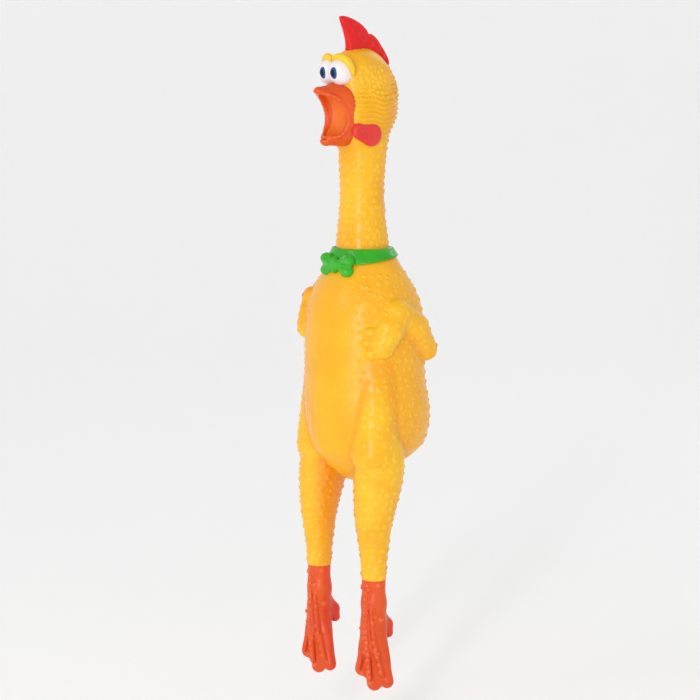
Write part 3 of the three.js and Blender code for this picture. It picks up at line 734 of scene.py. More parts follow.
def rays_out(field: Field, axis: Points, angles: np.ndarray, reach: float) -> Points:
    """Walk out from an axis, level and at an angle, to where the field's surface is.

    Args:
        field: The skin's field.
        axis: A point inside the skin for each ray.
        angles: Each ray's direction, in degrees from the breast towards the bird's left.
        reach: How far to look.

    Returns:
        The points on the skin.
    """
    turn = np.radians(angles)
    way = np.stack([np.sin(turn), -np.cos(turn), np.zeros(len(turn))], axis=1)
    near, far = np.zeros(len(turn)), np.full(len(turn), reach)
    for _ in range(16):
        middle = (near + far) / 2
        inside = field(axis + way * middle[:, None]) < 0
        near = np.where(inside, middle, near)
        far = np.where(inside, far, middle)
    return axis + way * near[:, None]


TRUNK_PIMPLES = Pimples(1.5, 0.66)
NECK_PIMPLES = Pimples(1.4, 0.66)
LEG_PIMPLES = Pimples(1.55, 0.78)
FOOT_BEADS = Pimples(1.3, 1.0)


def axis_through(x: float, y: float) -> Callable[[np.ndarray], Points]:
    """An upright axis, given as its points at the heights asked for."""

    def points(z: np.ndarray) -> Points:
        """The axis at each height."""
        return np.stack([np.full_like(z, x), np.full_like(z, y), z], axis=1)

    return points


@dataclass(frozen=True)
class Rows:
    """How a skin's rows of pimples are spaced, and what fixes their small shifts."""

    between: float
    along: float
    reach: float
    seed: int
    shift: float = 0.16


TRUNK_ROWS = Rows(5.6, 5.2, 62.0, 11)
CROWN_ROWS = Rows(3.0, 3.2, 40.0, 3)
NECK_ROWS = Rows(4.3, 4.6, 30.0, 5)
LEG_ROWS = Rows(5.0, 5.4, 24.0, 17)


def rows_round(
    field: Field,
    axis_at: Callable[[np.ndarray], Points],
    low: float,
    high: float,
    rows: Rows,
) -> tuple[Points, Points, np.ndarray]:
    """Lay staggered rows of points round a skin.

    Args:
        field: The skin's field.
        axis_at: Gives the skin's middle at each height.
        low: Height of the lowest row.
        high: Height of the highest row.
        rows: Their spacing and the greatest distance from the middle to the skin.

    Returns:
        The points, their outward directions and their angles.
    """
    chance = np.random.default_rng(rows.seed)
    heights, angles = [], []
    for row, height in enumerate(np.arange(low, high, rows.between)):
        middle = axis_at(np.array([height]))
        quarters = np.array([0.0, 90.0, 180.0, 270.0])
        sample = rays_out(field, np.repeat(middle, 4, axis=0), quarters, rows.reach)
        girth = 2 * math.pi * float(np.linalg.norm(sample - middle, axis=1).mean())
        count = max(int(girth / rows.along), 5)
        turns = (np.arange(count) + 0.5 * (row % 2)) * 360.0 / count
        angles.append(turns + chance.normal(0.0, rows.shift, count) * 360.0 / count)
        heights.append(height + chance.normal(0.0, rows.shift, count) * rows.between)
    z, turn = np.concatenate(heights), np.concatenate(angles)
    spots = rays_out(field, axis_at(z), turn, rows.reach)
    aims = slopes(field, spots)
    return spots, aims / np.linalg.norm(aims, axis=1, keepdims=True), turn % 360.0


# ---------------------------------------------------------------------------------------------
# Torso, wings and collar
# ---------------------------------------------------------------------------------------------


@dataclass
class Torso:
    """The hollow trunk with its wings and the upper thighs, rigid between neck and hips."""

    half_width: float = 38.0
    half_depth: float = 37.5
    belly_drop: float = 12.0
    wing_drop: float = 25.0
    shoulder_share: float = 0.71
    far_lift: float = 1.4
    far_raise: float = 8.0
    thigh_fillet: float = 2.2
    wing_fillet: float = 0.8
    breast_rise: float = 1.1
    flute_rise: float = 0.34
    plain_breast: float = 26.0
    full_flank: float = 48.0
    steepest: float = 0.75
    tone_depth: float = 0.28
    # Strength of the painted shade along the creases where the thigh tops meet the trunk.
    crease_shade_depth: float = 0.55
    step: float = 0.95

    def __post_init__(self) -> None:
        """Work out the trunk from the hips and the collar."""
        self.hip = float(PLACES.hip[2])
        self.top = float(PLACES.collar[2])
        self.length = self.top - self.hip
        share = self.share
        w, d = self.half_width, self.half_depth
        self.trunk = Trunk([
            (self.hip - self.belly_drop, 11.0, 11.0, -7.0),
            (self.hip - 2.0, 20.0, 25.0, 2.5),
            (share(0.06), 29.5, 35.5, 5.0),
            (share(0.15), w - 3.0, d + 0.8, 5.0),
            (share(0.25), w - 0.5, d + 0.8, 4.2),
            (share(0.40), w - 1.0, d - 1.2, 2.4),
            (share(0.57), w - 1.0, d - 2.0, 2.0),
            (share(0.72), w - 2.0, d - 3.5, 1.8),
            (share(0.82), w - 6.5, d - 8.5, 1.7),
            (share(0.91), 26.0, 21.4, 1.6),
            (share(0.96), 22.0, 18.4, 1.2),
            (share(1.0), 17.4, 16.4, 0.8),
        ], (self.belly_drop, 0.0))

    def share(self, part: float) -> float:
        """The height at a part of the way from the hips to the collar."""
        return self.hip + self.length * part

    def thigh_stub(self, p: Points) -> np.ndarray:
        """The top of each thigh, where it runs into the trunk."""
        x, y, z = PLACES.hip
        return bar(mirrored(p), at(x - 3.0, y + 3.6, z + 60.0), at(x - 0.2, y + 0.6, z + 8.0), 12.4, 14.2)

    def wing(self, p: Points, lift: float = 0.8, raised: float = 0.0, web: float = 0.0) -> np.ndarray:
        """A folded wing on the bird's left: a short arm bent at the shoulder, with three blunt fingers.

        Args:
            p: Points, one a row.
            lift: How much further the wing stands off the flank than usual.
            raised: How much higher it sits than usual.
            web: How much the fingers thicken and run together.

        Returns:
            The distance of each point.
        """
        shoulder = self.share(self.shoulder_share) + raised

        def on(turn: float, height: float, off: float) -> np.ndarray:
            """A point near the flank's skin."""
            return self.trunk.on(turn, height, off + lift)

        elbow = shoulder - self.wing_drop
        arm = string(p, [
            on(86, shoulder + 1.0, -3.5),
            on(110, shoulder - 8.0, -2.4),
            on(130, elbow + 2.0, 0.2),
        ], [9.0, 8.2, 7.2], 2.0)
        fore = string(p, [
            on(84, shoulder, -3.5),
            on(74, shoulder - 8.0, -3.0),
            on(66, elbow + 6.0, -2.0),
        ], [9.2, 9.0, 7.2], 2.0)
        wing = melt(arm, fore, 2.0)
        for turn, drop, radius in ((52.0, -9.5, 4.0), (51.0, -15.5, 4.0), (55.0, -22.0, 4.8)):
            thick = radius * (1.0 + 0.18 * web)
            knuckle = on(67, shoulder + drop * 0.92, -1.2)
            finger = bar(p, knuckle, on(turn, shoulder + drop, -0.8), thick, thick * 0.82)
            wing = melt(wing, finger, 0.7 + 2.4 * web)
        for turn, drop in ((60.0, -12.5), (60.0, -18.8)):
            start, end = on(turn - 9, shoulder + drop, 4.2), on(turn + 9, shoulder + drop * 0.85, 6.2)
            groove = bar(p, start, end, 1.2, 0.6)
            wing = carve(wing, groove, 1.0)
        if web:
            start, end = on(62, shoulder - 1.0, -1.0), on(55, shoulder - 18.0, -1.4)
            wing = melt(wing, bar(p, start, end, 5.8, 6.0), 2.0)
        notch = bar(p, on(97, elbow - 8.0, 2.0), on(92, elbow + 4.5, 3.5), 5.5, 0.8)
        return carve(wing, notch, 1.6)

    def field(self, p: Points) -> np.ndarray:
        """The whole trunk with wings and thigh tops."""
        body = melt(self.trunk.field(p), self.thigh_stub(p), self.thigh_fillet)
        z = p[:, 2]
        breast = np.exp(-(p[:, 0] / 9.0) ** 2) * np.exp(-((z - self.hip - 40.0) / 46.0) ** 2)
        front = (p[:, 1] < 0) * 1.0
        flute = self.flute_rise * np.cos(p[:, 0] * 0.85) * np.exp(-(p[:, 0] / 9.0) ** 2) * front
        flute = flute * np.exp(-((z - self.hip - 22.0) / 26.0) ** 2)
        body = body - self.breast_rise * breast * front - flute
        left = p[:, 0] > 0
        wings = np.empty(len(p))
        wings[left] = self.wing(p[left])
        wings[~left] = self.wing(p[~left] * at(-1.0, 1.0, 1.0), self.far_lift, self.far_raise, 1.0)
        return melt(body, wings, self.wing_fillet)

    def tone_and_shade(self, p: Points) -> np.ndarray:
        """Deeper on the breast and rump and lower down, plain on the thighs and wings, with painted shade
        in the creases beside the thighs.
        """
        apart = np.clip((self.thigh_stub(p) - 0.4) / 3.0, 0.0, 1.0)
        left = np.where(p[:, :1] > 0, 1.0, -1.0)
        clear = np.clip((self.wing(p * np.hstack([left, np.ones((len(p), 2))])) - 0.4) / 2.0, 0.0, 1.0)
        low = np.clip((self.top - p[:, 2]) / 30.0, 0.0, 1.0)
        # Painted shade: the colour deepens along the crease where each thigh top runs into the trunk.
        crease_shade = np.exp(-((self.trunk.field(p) - self.thigh_stub(p)) / 1.6) ** 2)
        depth = self.tone_depth * apart * (0.35 + 0.65 * low) + self.crease_shade_depth * crease_shade
        return depth * clear

    def build(self, finish: bpy.types.Material, dots: bpy.types.Material) -> list[bpy.types.Object]:
        """Make the trunk's skin and its pimples.

        Args:
            finish: The yellow vinyl.
            dots: The vinyl of the pimples.

        Returns:
            The pieces.
        """
        low, high = (-48.0, -44.0, self.hip - 14.0), (48.0, 50.0, self.top + 2.2)
        skin = sculpted("torso_skin", self.field, low, high, self.step)
        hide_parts("torso_shell", "wing_left", "wing_right")
        middle = axis_through(0.0, 1.0)
        spots, aims, turn = rows_round(self.field, middle, self.hip - 8.0, self.top - 10.0, TRUNK_ROWS)
        front = np.minimum(turn, 360.0 - turn)
        fade = self.full_flank - self.plain_breast
        swell = np.clip((front - self.plain_breast) / fade, 0.0, 1.0) ** 0.6
        shown = spots[:, 2] > self.hip + 2.0
        upright = np.abs(aims[:, 2]) < self.steepest
        keepers = (shown | (np.abs(spots[:, 0]) < 9.0)) & upright & (swell > 0.3)
        spots, aims, swell = spots[keepers], aims[keepers], swell[keepers]
        bumps = TRUNK_PIMPLES.grow("torso_pimples", spots, aims, swell, dots)
        for piece, paint in ((skin, finish), (bumps, dots)):
            shade(piece, self.tone_and_shade)
            dress(piece, paint, "vinyl_yellow")
            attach(piece, "torso")
        return [skin, bumps]


@dataclass
class Collar:
    """The green band round the shoulders and its bow tie."""

    torso: Torso
    thick: float = 1.9
    front_height: float = 10.0
    back_height: float = 5.0
    neck_hole: float = 16.3
    puff_reach: float = 9.4
    pleats: float = 10.0
    pleat_rise: float = 0.5
    step: float = 0.5
    bow_step: float = 0.42

    def band(self, p: Points) -> np.ndarray:
        """The band follows the shoulders, tall at the bow and low behind."""
        skin = self.torso.trunk.field(p)
        top = self.torso.top
        ahead = np.clip(0.5 - (p[:, 1] + 4.0) / 34.0, 0.0, 1.0)
        tall = self.back_height + (self.front_height - self.back_height) * ahead ** 1.6
        slab = np.abs(p[:, 2] - (top + 0.9 - tall / 2)) - tall / 2
        shell = np.abs(skin - 0.2) - self.thick
        band = keep(shell, slab, 1.0)
        neck = np.hypot(p[:, 0], p[:, 1]) - self.neck_hole
        return carve(band, neck, 0.8)

    def bow(self, p: Points) -> np.ndarray:
        """Two pleated puffs and a knot between them."""
        centre = at(0.0, -20.6, self.torso.top - 8.6)
        q = p - centre
        side = np.abs(q[:, 0])
        m = np.stack([side, q[:, 1], q[:, 2]], axis=1)
        upper = egg(m, at(self.puff_reach + 0.2, 1.6, 3.1), at(4.4, 4.2, 3.9))
        lower = egg(m, at(self.puff_reach - 0.2, 1.2, -3.6), at(4.3, 4.1, 3.8))
        puff = melt(upper, lower, 2.2)
        throat = egg(m, at(self.puff_reach * 0.55, 0.6, 0.0), at(4.0, 3.4, 4.2))
        puff = melt(puff, throat, 2.0)
        fan = np.arctan2(m[:, 2], m[:, 0] - 1.0)
        pleat = np.clip((m[:, 0] - 4.0) / 3.0, 0.0, 1.0) * np.clip((13.0 - m[:, 0]) / 4.0, 0.0, 1.0)
        puff = puff + self.pleat_rise * pleat * np.cos(fan * self.pleats)
        knot = egg(m, at(0.0, -0.6, 0.0), at(3.3, 3.7, 5.0))
        knot = knot + 0.18 * np.cos(m[:, 0] * 3.1)
        return melt(puff, knot, 0.7)

    def build(self, finish: bpy.types.Material) -> list[bpy.types.Object]:
        """Make the band and the bow.

        Args:
            finish: The green vinyl.

        Returns:
            The pieces.
        """
        top = self.torso.top
        band = sculpted("collar_skin", self.band, (-31, -29, top - 15.5), (31, 31, top + 3.0), self.step)
        bow = sculpted("bow_tie", self.bow, (-19, -28, top - 19.0), (19, -13, top + 1.5), self.bow_step)
        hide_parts("collar_band")
        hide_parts("bow_knot", "bow_loop_left", "bow_loop_right")
        for piece in (band, bow):
            dress(piece, finish, "vinyl_green")
            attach(piece, "torso")
        return [band, bow]


# ---------------------------------------------------------------------------------------------
# Neck and head
# ---------------------------------------------------------------------------------------------


@dataclass
class HeadAndNeck:
    """One skin from the collar to the crown, parted at the middle of the neck."""

    half_width: float = 17.5
    half_depth: float = 22.0
    height: float = 59.0
    ridge_pitch: float = 2.75
    ridge_rise: float = 0.5
    plain_face: float = 44.0
    steepest: float = 0.8
    seam_gap: float = 0.6
    wattle_gap: float = 1.6
    head_bend: tuple[float, float] = (-14.0, 12.0)
    collar_bend: tuple[float, float] = (-2.0, 24.0)
    step: float = 0.62

    def __post_init__(self) -> None:
        """Stack the sections of the neck and the skull."""
        self.base = float(PLACES.head[2])
        self.foot = float(PLACES.collar[2])
        base, foot, tall = self.base, self.foot, self.height
        w, d = self.half_width, self.half_depth
        self.skull = Trunk([
            (foot - 9.0, 15.2, 15.2, 0.4),
            (foot, 15.9, 15.9, 0.4),
            (foot + 8.0, 15.2, 15.2, 0.2),
            (foot + 20.0, 13.9, 13.9, 0.0),
            (foot + 36.0, 13.1, 13.1, 0.0),
            (foot + 50.0, 13.7, 13.9, 0.2),
            (base, 14.3, 14.8, 0.6),
            (base + 8.0, 15.0, 16.6, 1.0),
            (base + tall * 0.30, w - 0.8, d - 1.6, 2.2),
            (base + tall * 0.50, w, d - 0.2, 1.7),
            (base + tall * 0.68, w - 0.4, d - 1.0, 0.6),
            (base + tall * 0.84, w - 0.8, d - 2.6, 0.2),
            (base + tall, w - 1.6, d - 4.0, 0.2),
        ], (0.0, tall * 0.40))

    def field(self, p: Points) -> np.ndarray:
        """The skin with its cheek ridges and the hollow for the mouth."""
        skin = self.skull.field(p)
        q = mirrored(p - HEAD_LIFT)
        skin = melt(skin, egg(q, at(0.0, -8.6, 46.0), at(12.5, 9.8, 12.2)), 7.0)
        skin = melt(skin, egg(q, at(8.3, -9.6, 18.5), at(7.4, 8.6, 17.5)), 4.5)
        h = p[:, 2] - self.base
        wave = 1.1 * np.sin(p[:, 1] * 0.16 + 0.6) + 0.5 * np.sin(p[:, 1] * 0.41)
        zone = np.clip((h - 3.0) / 6.0, 0.0, 1.0) * np.clip((40.0 - h) / 9.0, 0.0, 1.0)
        zone = zone * np.clip((p[:, 1] + 17.5) / 4.0, 0.0, 1.0)
        skin = skin - self.ridge_rise * zone * np.sin((h + wave) * 2 * math.pi / self.ridge_pitch)
        mouth = Beak().hollow(p - HEAD_LIFT, 0.9)
        return carve(skin, mouth, 0.8)

    def build(self, finish: bpy.types.Material, dots: bpy.types.Material) -> list[bpy.types.Object]:
        """Make the skin in its two stretches, with pimples.

        Args:
            finish: The yellow vinyl.
            dots: The vinyl of the pimples.

        Returns:
            The pieces.
        """
        low, high = (-21.0, -25.0, self.foot - 10.0), (21.0, 27.0, self.base + self.height + 2.0)
        points, faces = sculpt(self.field, low, high, self.step)
        head = mesh_piece("head_and_neck_skin", points, faces)
        lower = mesh_piece("neck_base_skin", points, faces)
        trim(head, GRIP, above=True)
        trim(lower, GRIP, above=False)
        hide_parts("head_shell")
        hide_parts("neck_shell")
        bumps = self.pimples(dots)
        for piece, paint in ((head, finish), (lower, finish), (bumps[0], dots), (bumps[1], dots)):
            dress(piece, paint, "vinyl_yellow")
            shade(piece, self.tone_and_shade)
        for piece in (head, bumps[0]):
            start, end = ((0, 0, (self.base + z) * MM) for z in self.head_bend)
            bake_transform(piece)
            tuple(start)
            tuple(end)
        for piece in (lower, bumps[1]):
            start, end = ((0, 0, (self.foot + z) * MM) for z in self.collar_bend)
            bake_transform(piece)
            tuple(start)
            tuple(end)
        return [head, lower, *bumps]

    def tone_and_shade(self, p: Points) -> np.ndarray:
        """A little deeper down the nape."""
        return 0.12 + 0.25 * np.clip(p[:, 1] / 20.0, 0.0, 1.0)

    def pimples(self, finish: bpy.types.Material) -> list[bpy.types.Object]:
        """Rows of pimples: small ones over the crown and nape, larger ones down the neck."""
        middle, top = axis_through(0.0, 0.5), self.base + self.height
        crown = rows_round(self.field, middle, self.base + 30.0, top - 8.0, CROWN_ROWS)
        neck = rows_round(self.field, middle, self.foot + 4.0, self.base + 7.0, NECK_ROWS)
        away = (crown[2] > self.plain_face) & (crown[2] < 360.0 - self.plain_face)
        away &= np.abs(crown[1][:, 2]) < self.steepest
        clear = (neck[0][:, 2] < self.base - 3.0) | ((neck[2] > 90.0) & (neck[2] < 270.0))
        clear &= Trimmings().wattle(neck[0] - HEAD_LIFT) > self.wattle_gap
        above = clear & (neck[0][:, 2] > GRIP + self.seam_gap)
        below = clear & (neck[0][:, 2] < GRIP - self.seam_gap)
        small, usual = np.full(int(away.sum()), 0.95), np.ones(int(below.sum()))
        spots = np.concatenate([crown[0][away], neck[0][above]])
        aims = np.concatenate([crown[1][away], neck[1][above]])
        swell = np.concatenate([small, np.ones(int(above.sum()))])
        return [
            NECK_PIMPLES.grow("head_and_neck_pimples", spots, aims, swell, finish),
            NECK_PIMPLES.grow("neck_base_pimples", neck[0][below], neck[1][below], usual, finish),
        ]


@dataclass
class Beak:
    """The wide-open beak, sculpted from the head's pivot: lips, palate and lining."""

    upper_reach: float = 36.7
    lower_reach: float = 31.5
    half_width: float = 12.7
    rim_points: int = 17
    step: float = 0.5
    lining_step: float = 0.45

    def bite(self, p: Points, grow: float) -> np.ndarray:
        """The C-shaped opening seen from the side, cut right through."""
        q = np.stack([0 * p[:, 0], p[:, 1], p[:, 2]], axis=1)
        return egg(q, at(0.0, -36.4, 19.2), at(60.0, 17.6 + grow, 13.4 + grow))

    def hollow(self, p: Points, grow: float) -> np.ndarray:
        """The inside of the mouth, back into the throat."""
        return egg(p, at(0.0, -26.6, 18.9), at(10.6 + grow, 12.6 + grow, 14.4 + grow))

    def field(self, p: Points) -> np.ndarray:
        """Both jaws with rounded lips."""
        upper = melt(
            egg(p, at(0.0, -16.0, 26.0), at(self.half_width, 11.5, 11.8)),
            bar(p, at(0.0, -20.0, 31.0), at(0.0, 2.9 - self.upper_reach, 33.6), 7.2, 3.0),
            7.0,
        )
        lower = melt(
            egg(p, at(0.0, -15.5, 13.2), at(self.half_width - 0.6, 9.6, 10.8)),
            bar(p, at(0.0, -18.0, 8.2), at(0.0, 3.6 - self.lower_reach, 5.2), 6.2, 3.8),
            6.0,
        )
        cheek = egg(p, at(0.0, -12.0, 18.5), at(self.half_width + 0.5, 8.6, 15.0))
        form = melt(melt(upper, lower, 4.0), cheek, 4.0)
        form = carve(form, self.bite(p, 0.0), 1.6)
        form = carve(form, self.hollow(p, 0.0), 1.0)
        route = curve_through([
            (0.4, -34.4, 33.4), (5.4, -29.6, 32.0), (8.6, -24.2, 28.6), (9.9, -20.0, 23.0),
            (10.1, -18.6, 17.6), (9.6, -19.8, 11.8), (7.6, -23.4, 7.6), (4.0, -27.2, 6.6),
            (0.3, -28.8, 6.4),
        ], self.rim_points)
        fat = [1.0 + 0.35 * math.sin(a) for a in np.linspace(0.0, math.pi, self.rim_points)]
        rim = string(mirrored(p), list(route), fat, 0.7)
        form = melt(form, rim, 1.1)
        return keep(form, p[:, 1] + 12.5, 1.0)

    def lining(self, p: Points) -> np.ndarray:
        """A thin painted skin inside the mouth, set back from the lips."""
        shell = np.abs(self.hollow(p, 0.1)) - 0.32
        front = -(p[:, 1] + 28.0 - 0.16 * np.abs(p[:, 2] - 18.4))
        edge = -(self.bite(p, 1.7))
        return keep(keep(shell, front, 0.3), edge, 0.3)

    def build(self, orange: bpy.types.Material, pale: bpy.types.Material) -> list[bpy.types.Object]:
        """Make the beak and the mouth's lining.

        Args:
            orange: The beak's vinyl.
            pale: The lighter vinyl of the lining.

        Returns:
            The pieces.
        """
        low, high = (-16.5, -40.0, -4.0), (16.5, -6.0, 42.0)
        beak = sculpted("open_beak", self.field, low, high, self.step, HEAD_LIFT)
        low, high = (-12.0, -34.0, 0.0), (12.0, -12.0, 37.0)
        lining = sculpted("mouth_skin", self.lining, low, high, self.lining_step, HEAD_LIFT)
        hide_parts("upper_beak", "lower_beak")
        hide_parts("mouth_lining")
        dress(beak, orange, "vinyl_orange")
        dress(lining, pale, "vinyl_lining")
        for piece in (beak, lining):
            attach(piece, "head")
        return [beak, lining]


@dataclass
class Trimmings:
    """Comb, wattles, eyes and eyelids, all sculpted from the head's pivot."""

    comb_thick: float = 5.6
    comb_edge: float = 2.6
    dent_margin: float = 3.0
    glance: float = 1.5
    eye: tuple[float, float, float] = (7.3, 8.0, 7.9)
    eye_place: tuple[float, float, float] = (4.5, -20.2, 45.2)
    iris: tuple[float, float] = (2.45, 3.95)
    pupil: tuple[float, float] = (1.3, 2.5)

    def comb(self, p: Points) -> np.ndarray:
        """A tall forward horn and a low lobe behind it, thick at the root and thin at the crest."""
        outline = curve_through([
            (-11.4, 52.0), (-11.7, 60.0), (-13.3, 67.0), (-17.3, 76.2), (-16.4, 77.9), (-12.6, 77.8),
            (-6.6, 76.0), (-1.2, 73.2), (2.6, 70.0), (4.4, 67.6), (7.0, 67.2), (10.8, 64.4),
            (15.4, 58.4), (18.4, 54.0), (19.9, 49.2), (15.0, 46.0), (0.0, 46.0),
        ], 90, closed=True)
        y, z = p[:, 1], p[:, 2]
        flat = np.full(len(p), 1e9)
        inside = np.zeros(len(p), bool)
        for (y0, z0), (y1, z1) in zip(outline, np.roll(outline, -1, axis=0)):
            dy, dz = y1 - y0, z1 - z0
            t = np.clip(((y - y0) * dy + (z - z0) * dz) / (dy * dy + dz * dz + 1e-9), 0.0, 1.0)
            flat = np.minimum(flat, np.hypot(y - y0 - t * dy, z - z0 - t * dz))
            crossing = ((z0 > z) != (z1 > z)) & (y < dy * (z - z0) / (dz if abs(dz) > 1e-9 else 1e-9) + y0)
            inside ^= crossing
        edge = np.where(inside, -flat, flat)
        half = self.comb_thick / 2 * np.clip(1.15 - (z - 56.0) / 52.0, 0.55, 1.15)
        dents = 0.36 * np.sin(z * 1.1 + y * 0.5) * np.sin(y * 1.2 + 1.0) + 0.3 * np.sin(z * 0.6 - y * 0.9)
        dents = dents * np.clip(-edge / self.dent_margin, 0.0, 1.0)
        return keep(edge, np.abs(p[:, 0]) - half - dents, self.comb_edge)

    def wattle(self, p: Points) -> np.ndarray:
        """A tongue-shaped lobe that points back from the corner of the beak."""
        q = mirrored(p)
        lobe = bar(q, at(12.9, -13.2, 10.4), at(14.0, -4.8, 8.0), 5.2, 7.0)
        slab = np.abs(q[:, 0] - 14.6 - 0.05 * q[:, 1]) - 2.2
        lobe = keep(lobe, slab, 1.8)
        dish = bar(q, at(18.6, -12.4, 10.2), at(19.2, -5.2, 8.2), 2.0, 3.0)
        return carve(lobe, dish, 1.4)

    def eyelid(self, p: Points) -> np.ndarray:
        """A fat brow that wraps the top and the outer side of each eye."""
        q = mirrored(p)
        x, y, z = self.eye_place
        route, radii = [], []
        for turn in np.linspace(122.0, -6.0, 10):
            a = math.radians(turn)
            route.append(at(
                max(x + (self.eye[0] + 0.2) * math.cos(a), 2.2),
                y + 0.6 - 2.6 * math.sin(a) + 2.2 * math.cos(a),
                z + (self.eye[2] + 0.7) * math.sin(a),
            ))
            radii.append(1.5 + 0.95 * math.sin(math.radians((122.0 - turn) * 1.4)))
        return string(q, route, radii, 0.8)

    def eyeball(self, p: Points) -> np.ndarray:
        """One bulging eyeball on each side of the beak."""
        q = mirrored(p)
        ball = egg(q, at(*self.eye_place), at(*self.eye))
        return keep(ball, 0.12 - q[:, 0], 0.5)

    def patch(self, side: float, half: tuple[float, float], lift: float) -> tuple[Points, list]:
        """An oval of paint laid on the front of an eyeball.

        Args:
            side: 1 for the bird's left eye, -1 for its right.
            half: Half width and half height of the oval.
            lift: How far it stands off the eyeball.

        Returns:
            Its points and faces.
        """
        rings, spokes = 7, 36
        x0, y0, z0 = self.eye_place
        rx, ry, rz = (r + lift for r in self.eye)
        cx, cz = x0 + 0.4 + side * self.glance, z0 - 0.6
        points = []
        for ring in range(rings + 1):
            share = ring / rings
            for spoke in range(spokes):
                a = 2 * math.pi * spoke / spokes
                x = cx + half[0] * share * math.cos(a)
                z = cz + half[1] * share * math.sin(a)
                room = 1.0 - ((x - x0) / rx) ** 2 - ((z - z0) / rz) ** 2
                y = y0 - ry * math.sqrt(max(room, 0.0)) + (0.45 if ring == rings else 0.0)
                points.append((side * x, y, z))
        faces = [
            (r * spokes + k, r * spokes + n, (r + 1) * spokes + n, (r + 1) * spokes + k)
            for r in range(rings)
            for k, n in ((k, (k + 1) % spokes) for k in range(spokes))
        ]
        faces = [f if side > 0 else f[::-1] for f in faces]
        return np.array(points), faces

    def both(self, name: str, field: Field, low: Corner, high: Corner, step: float) -> dict:
        """Sculpt a mirrored pair and part it into a left and a right piece."""
        points, faces = sculpt(field, low, high, step)
        pieces = {}
        for side in Side:
            own = points * at(side.sign, 1.0, 1.0) + HEAD_LIFT
            ring = faces if side is Side.LEFT else faces[:, ::-1]
            pieces[side] = mesh_piece(f"{name}_{side.value}", own, ring)
        return pieces

    def build(self, finishes: dict[str, bpy.types.Material]) -> list[bpy.types.Object]:
        """Make every trimming.

        Args:
            finishes: The materials by name.

        Returns:
            The pieces.
        """
        comb = sculpted("comb_skin", self.comb, (-5.0, -21.0, 44.0), (5.0, 23.0, 81.0), 0.5, HEAD_LIFT)
        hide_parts("comb")
        dress(comb, finishes["comb"], "vinyl_red")
        made = [comb]
        pairs = (
            ("wattle", self.wattle, (6.0, -21.0, -1.0), (20.0, 7.0, 19.0), 0.45, "vinyl_wattle"),
            ("eyelid", self.eyelid, (-0.6, -29.0, 32.0), (19.0, -10.0, 60.0), 0.45, "vinyl_brow"),
            ("eyeball", self.eyeball, (-0.6, -30.0, 34.0), (15.0, -10.0, 56.0), 0.42, "vinyl_white"),
        )
        for name, field, low, high, step, slot in pairs:
            for side, piece in self.both(f"{name}_skin", field, low, high, step).items():
                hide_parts(f"{name}_{side.value}")
                dress(piece, finishes[name], slot)
                made.append(piece)
        for name, half, rise in (("iris", self.iris, 0.10), ("pupil", self.pupil, 0.2)):
            for side in Side:
                points, faces = self.patch(side.sign, half, rise)
                piece = mesh_piece(f"{name}_{side.value}", points + HEAD_LIFT, faces)
                dress(piece, finishes[name])
                made.append(piece)
        for piece in made:
            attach(piece, "head")
        return made


# ---------------------------------------------------------------------------------------------
# Legs and feet
# ---------------------------------------------------------------------------------------------


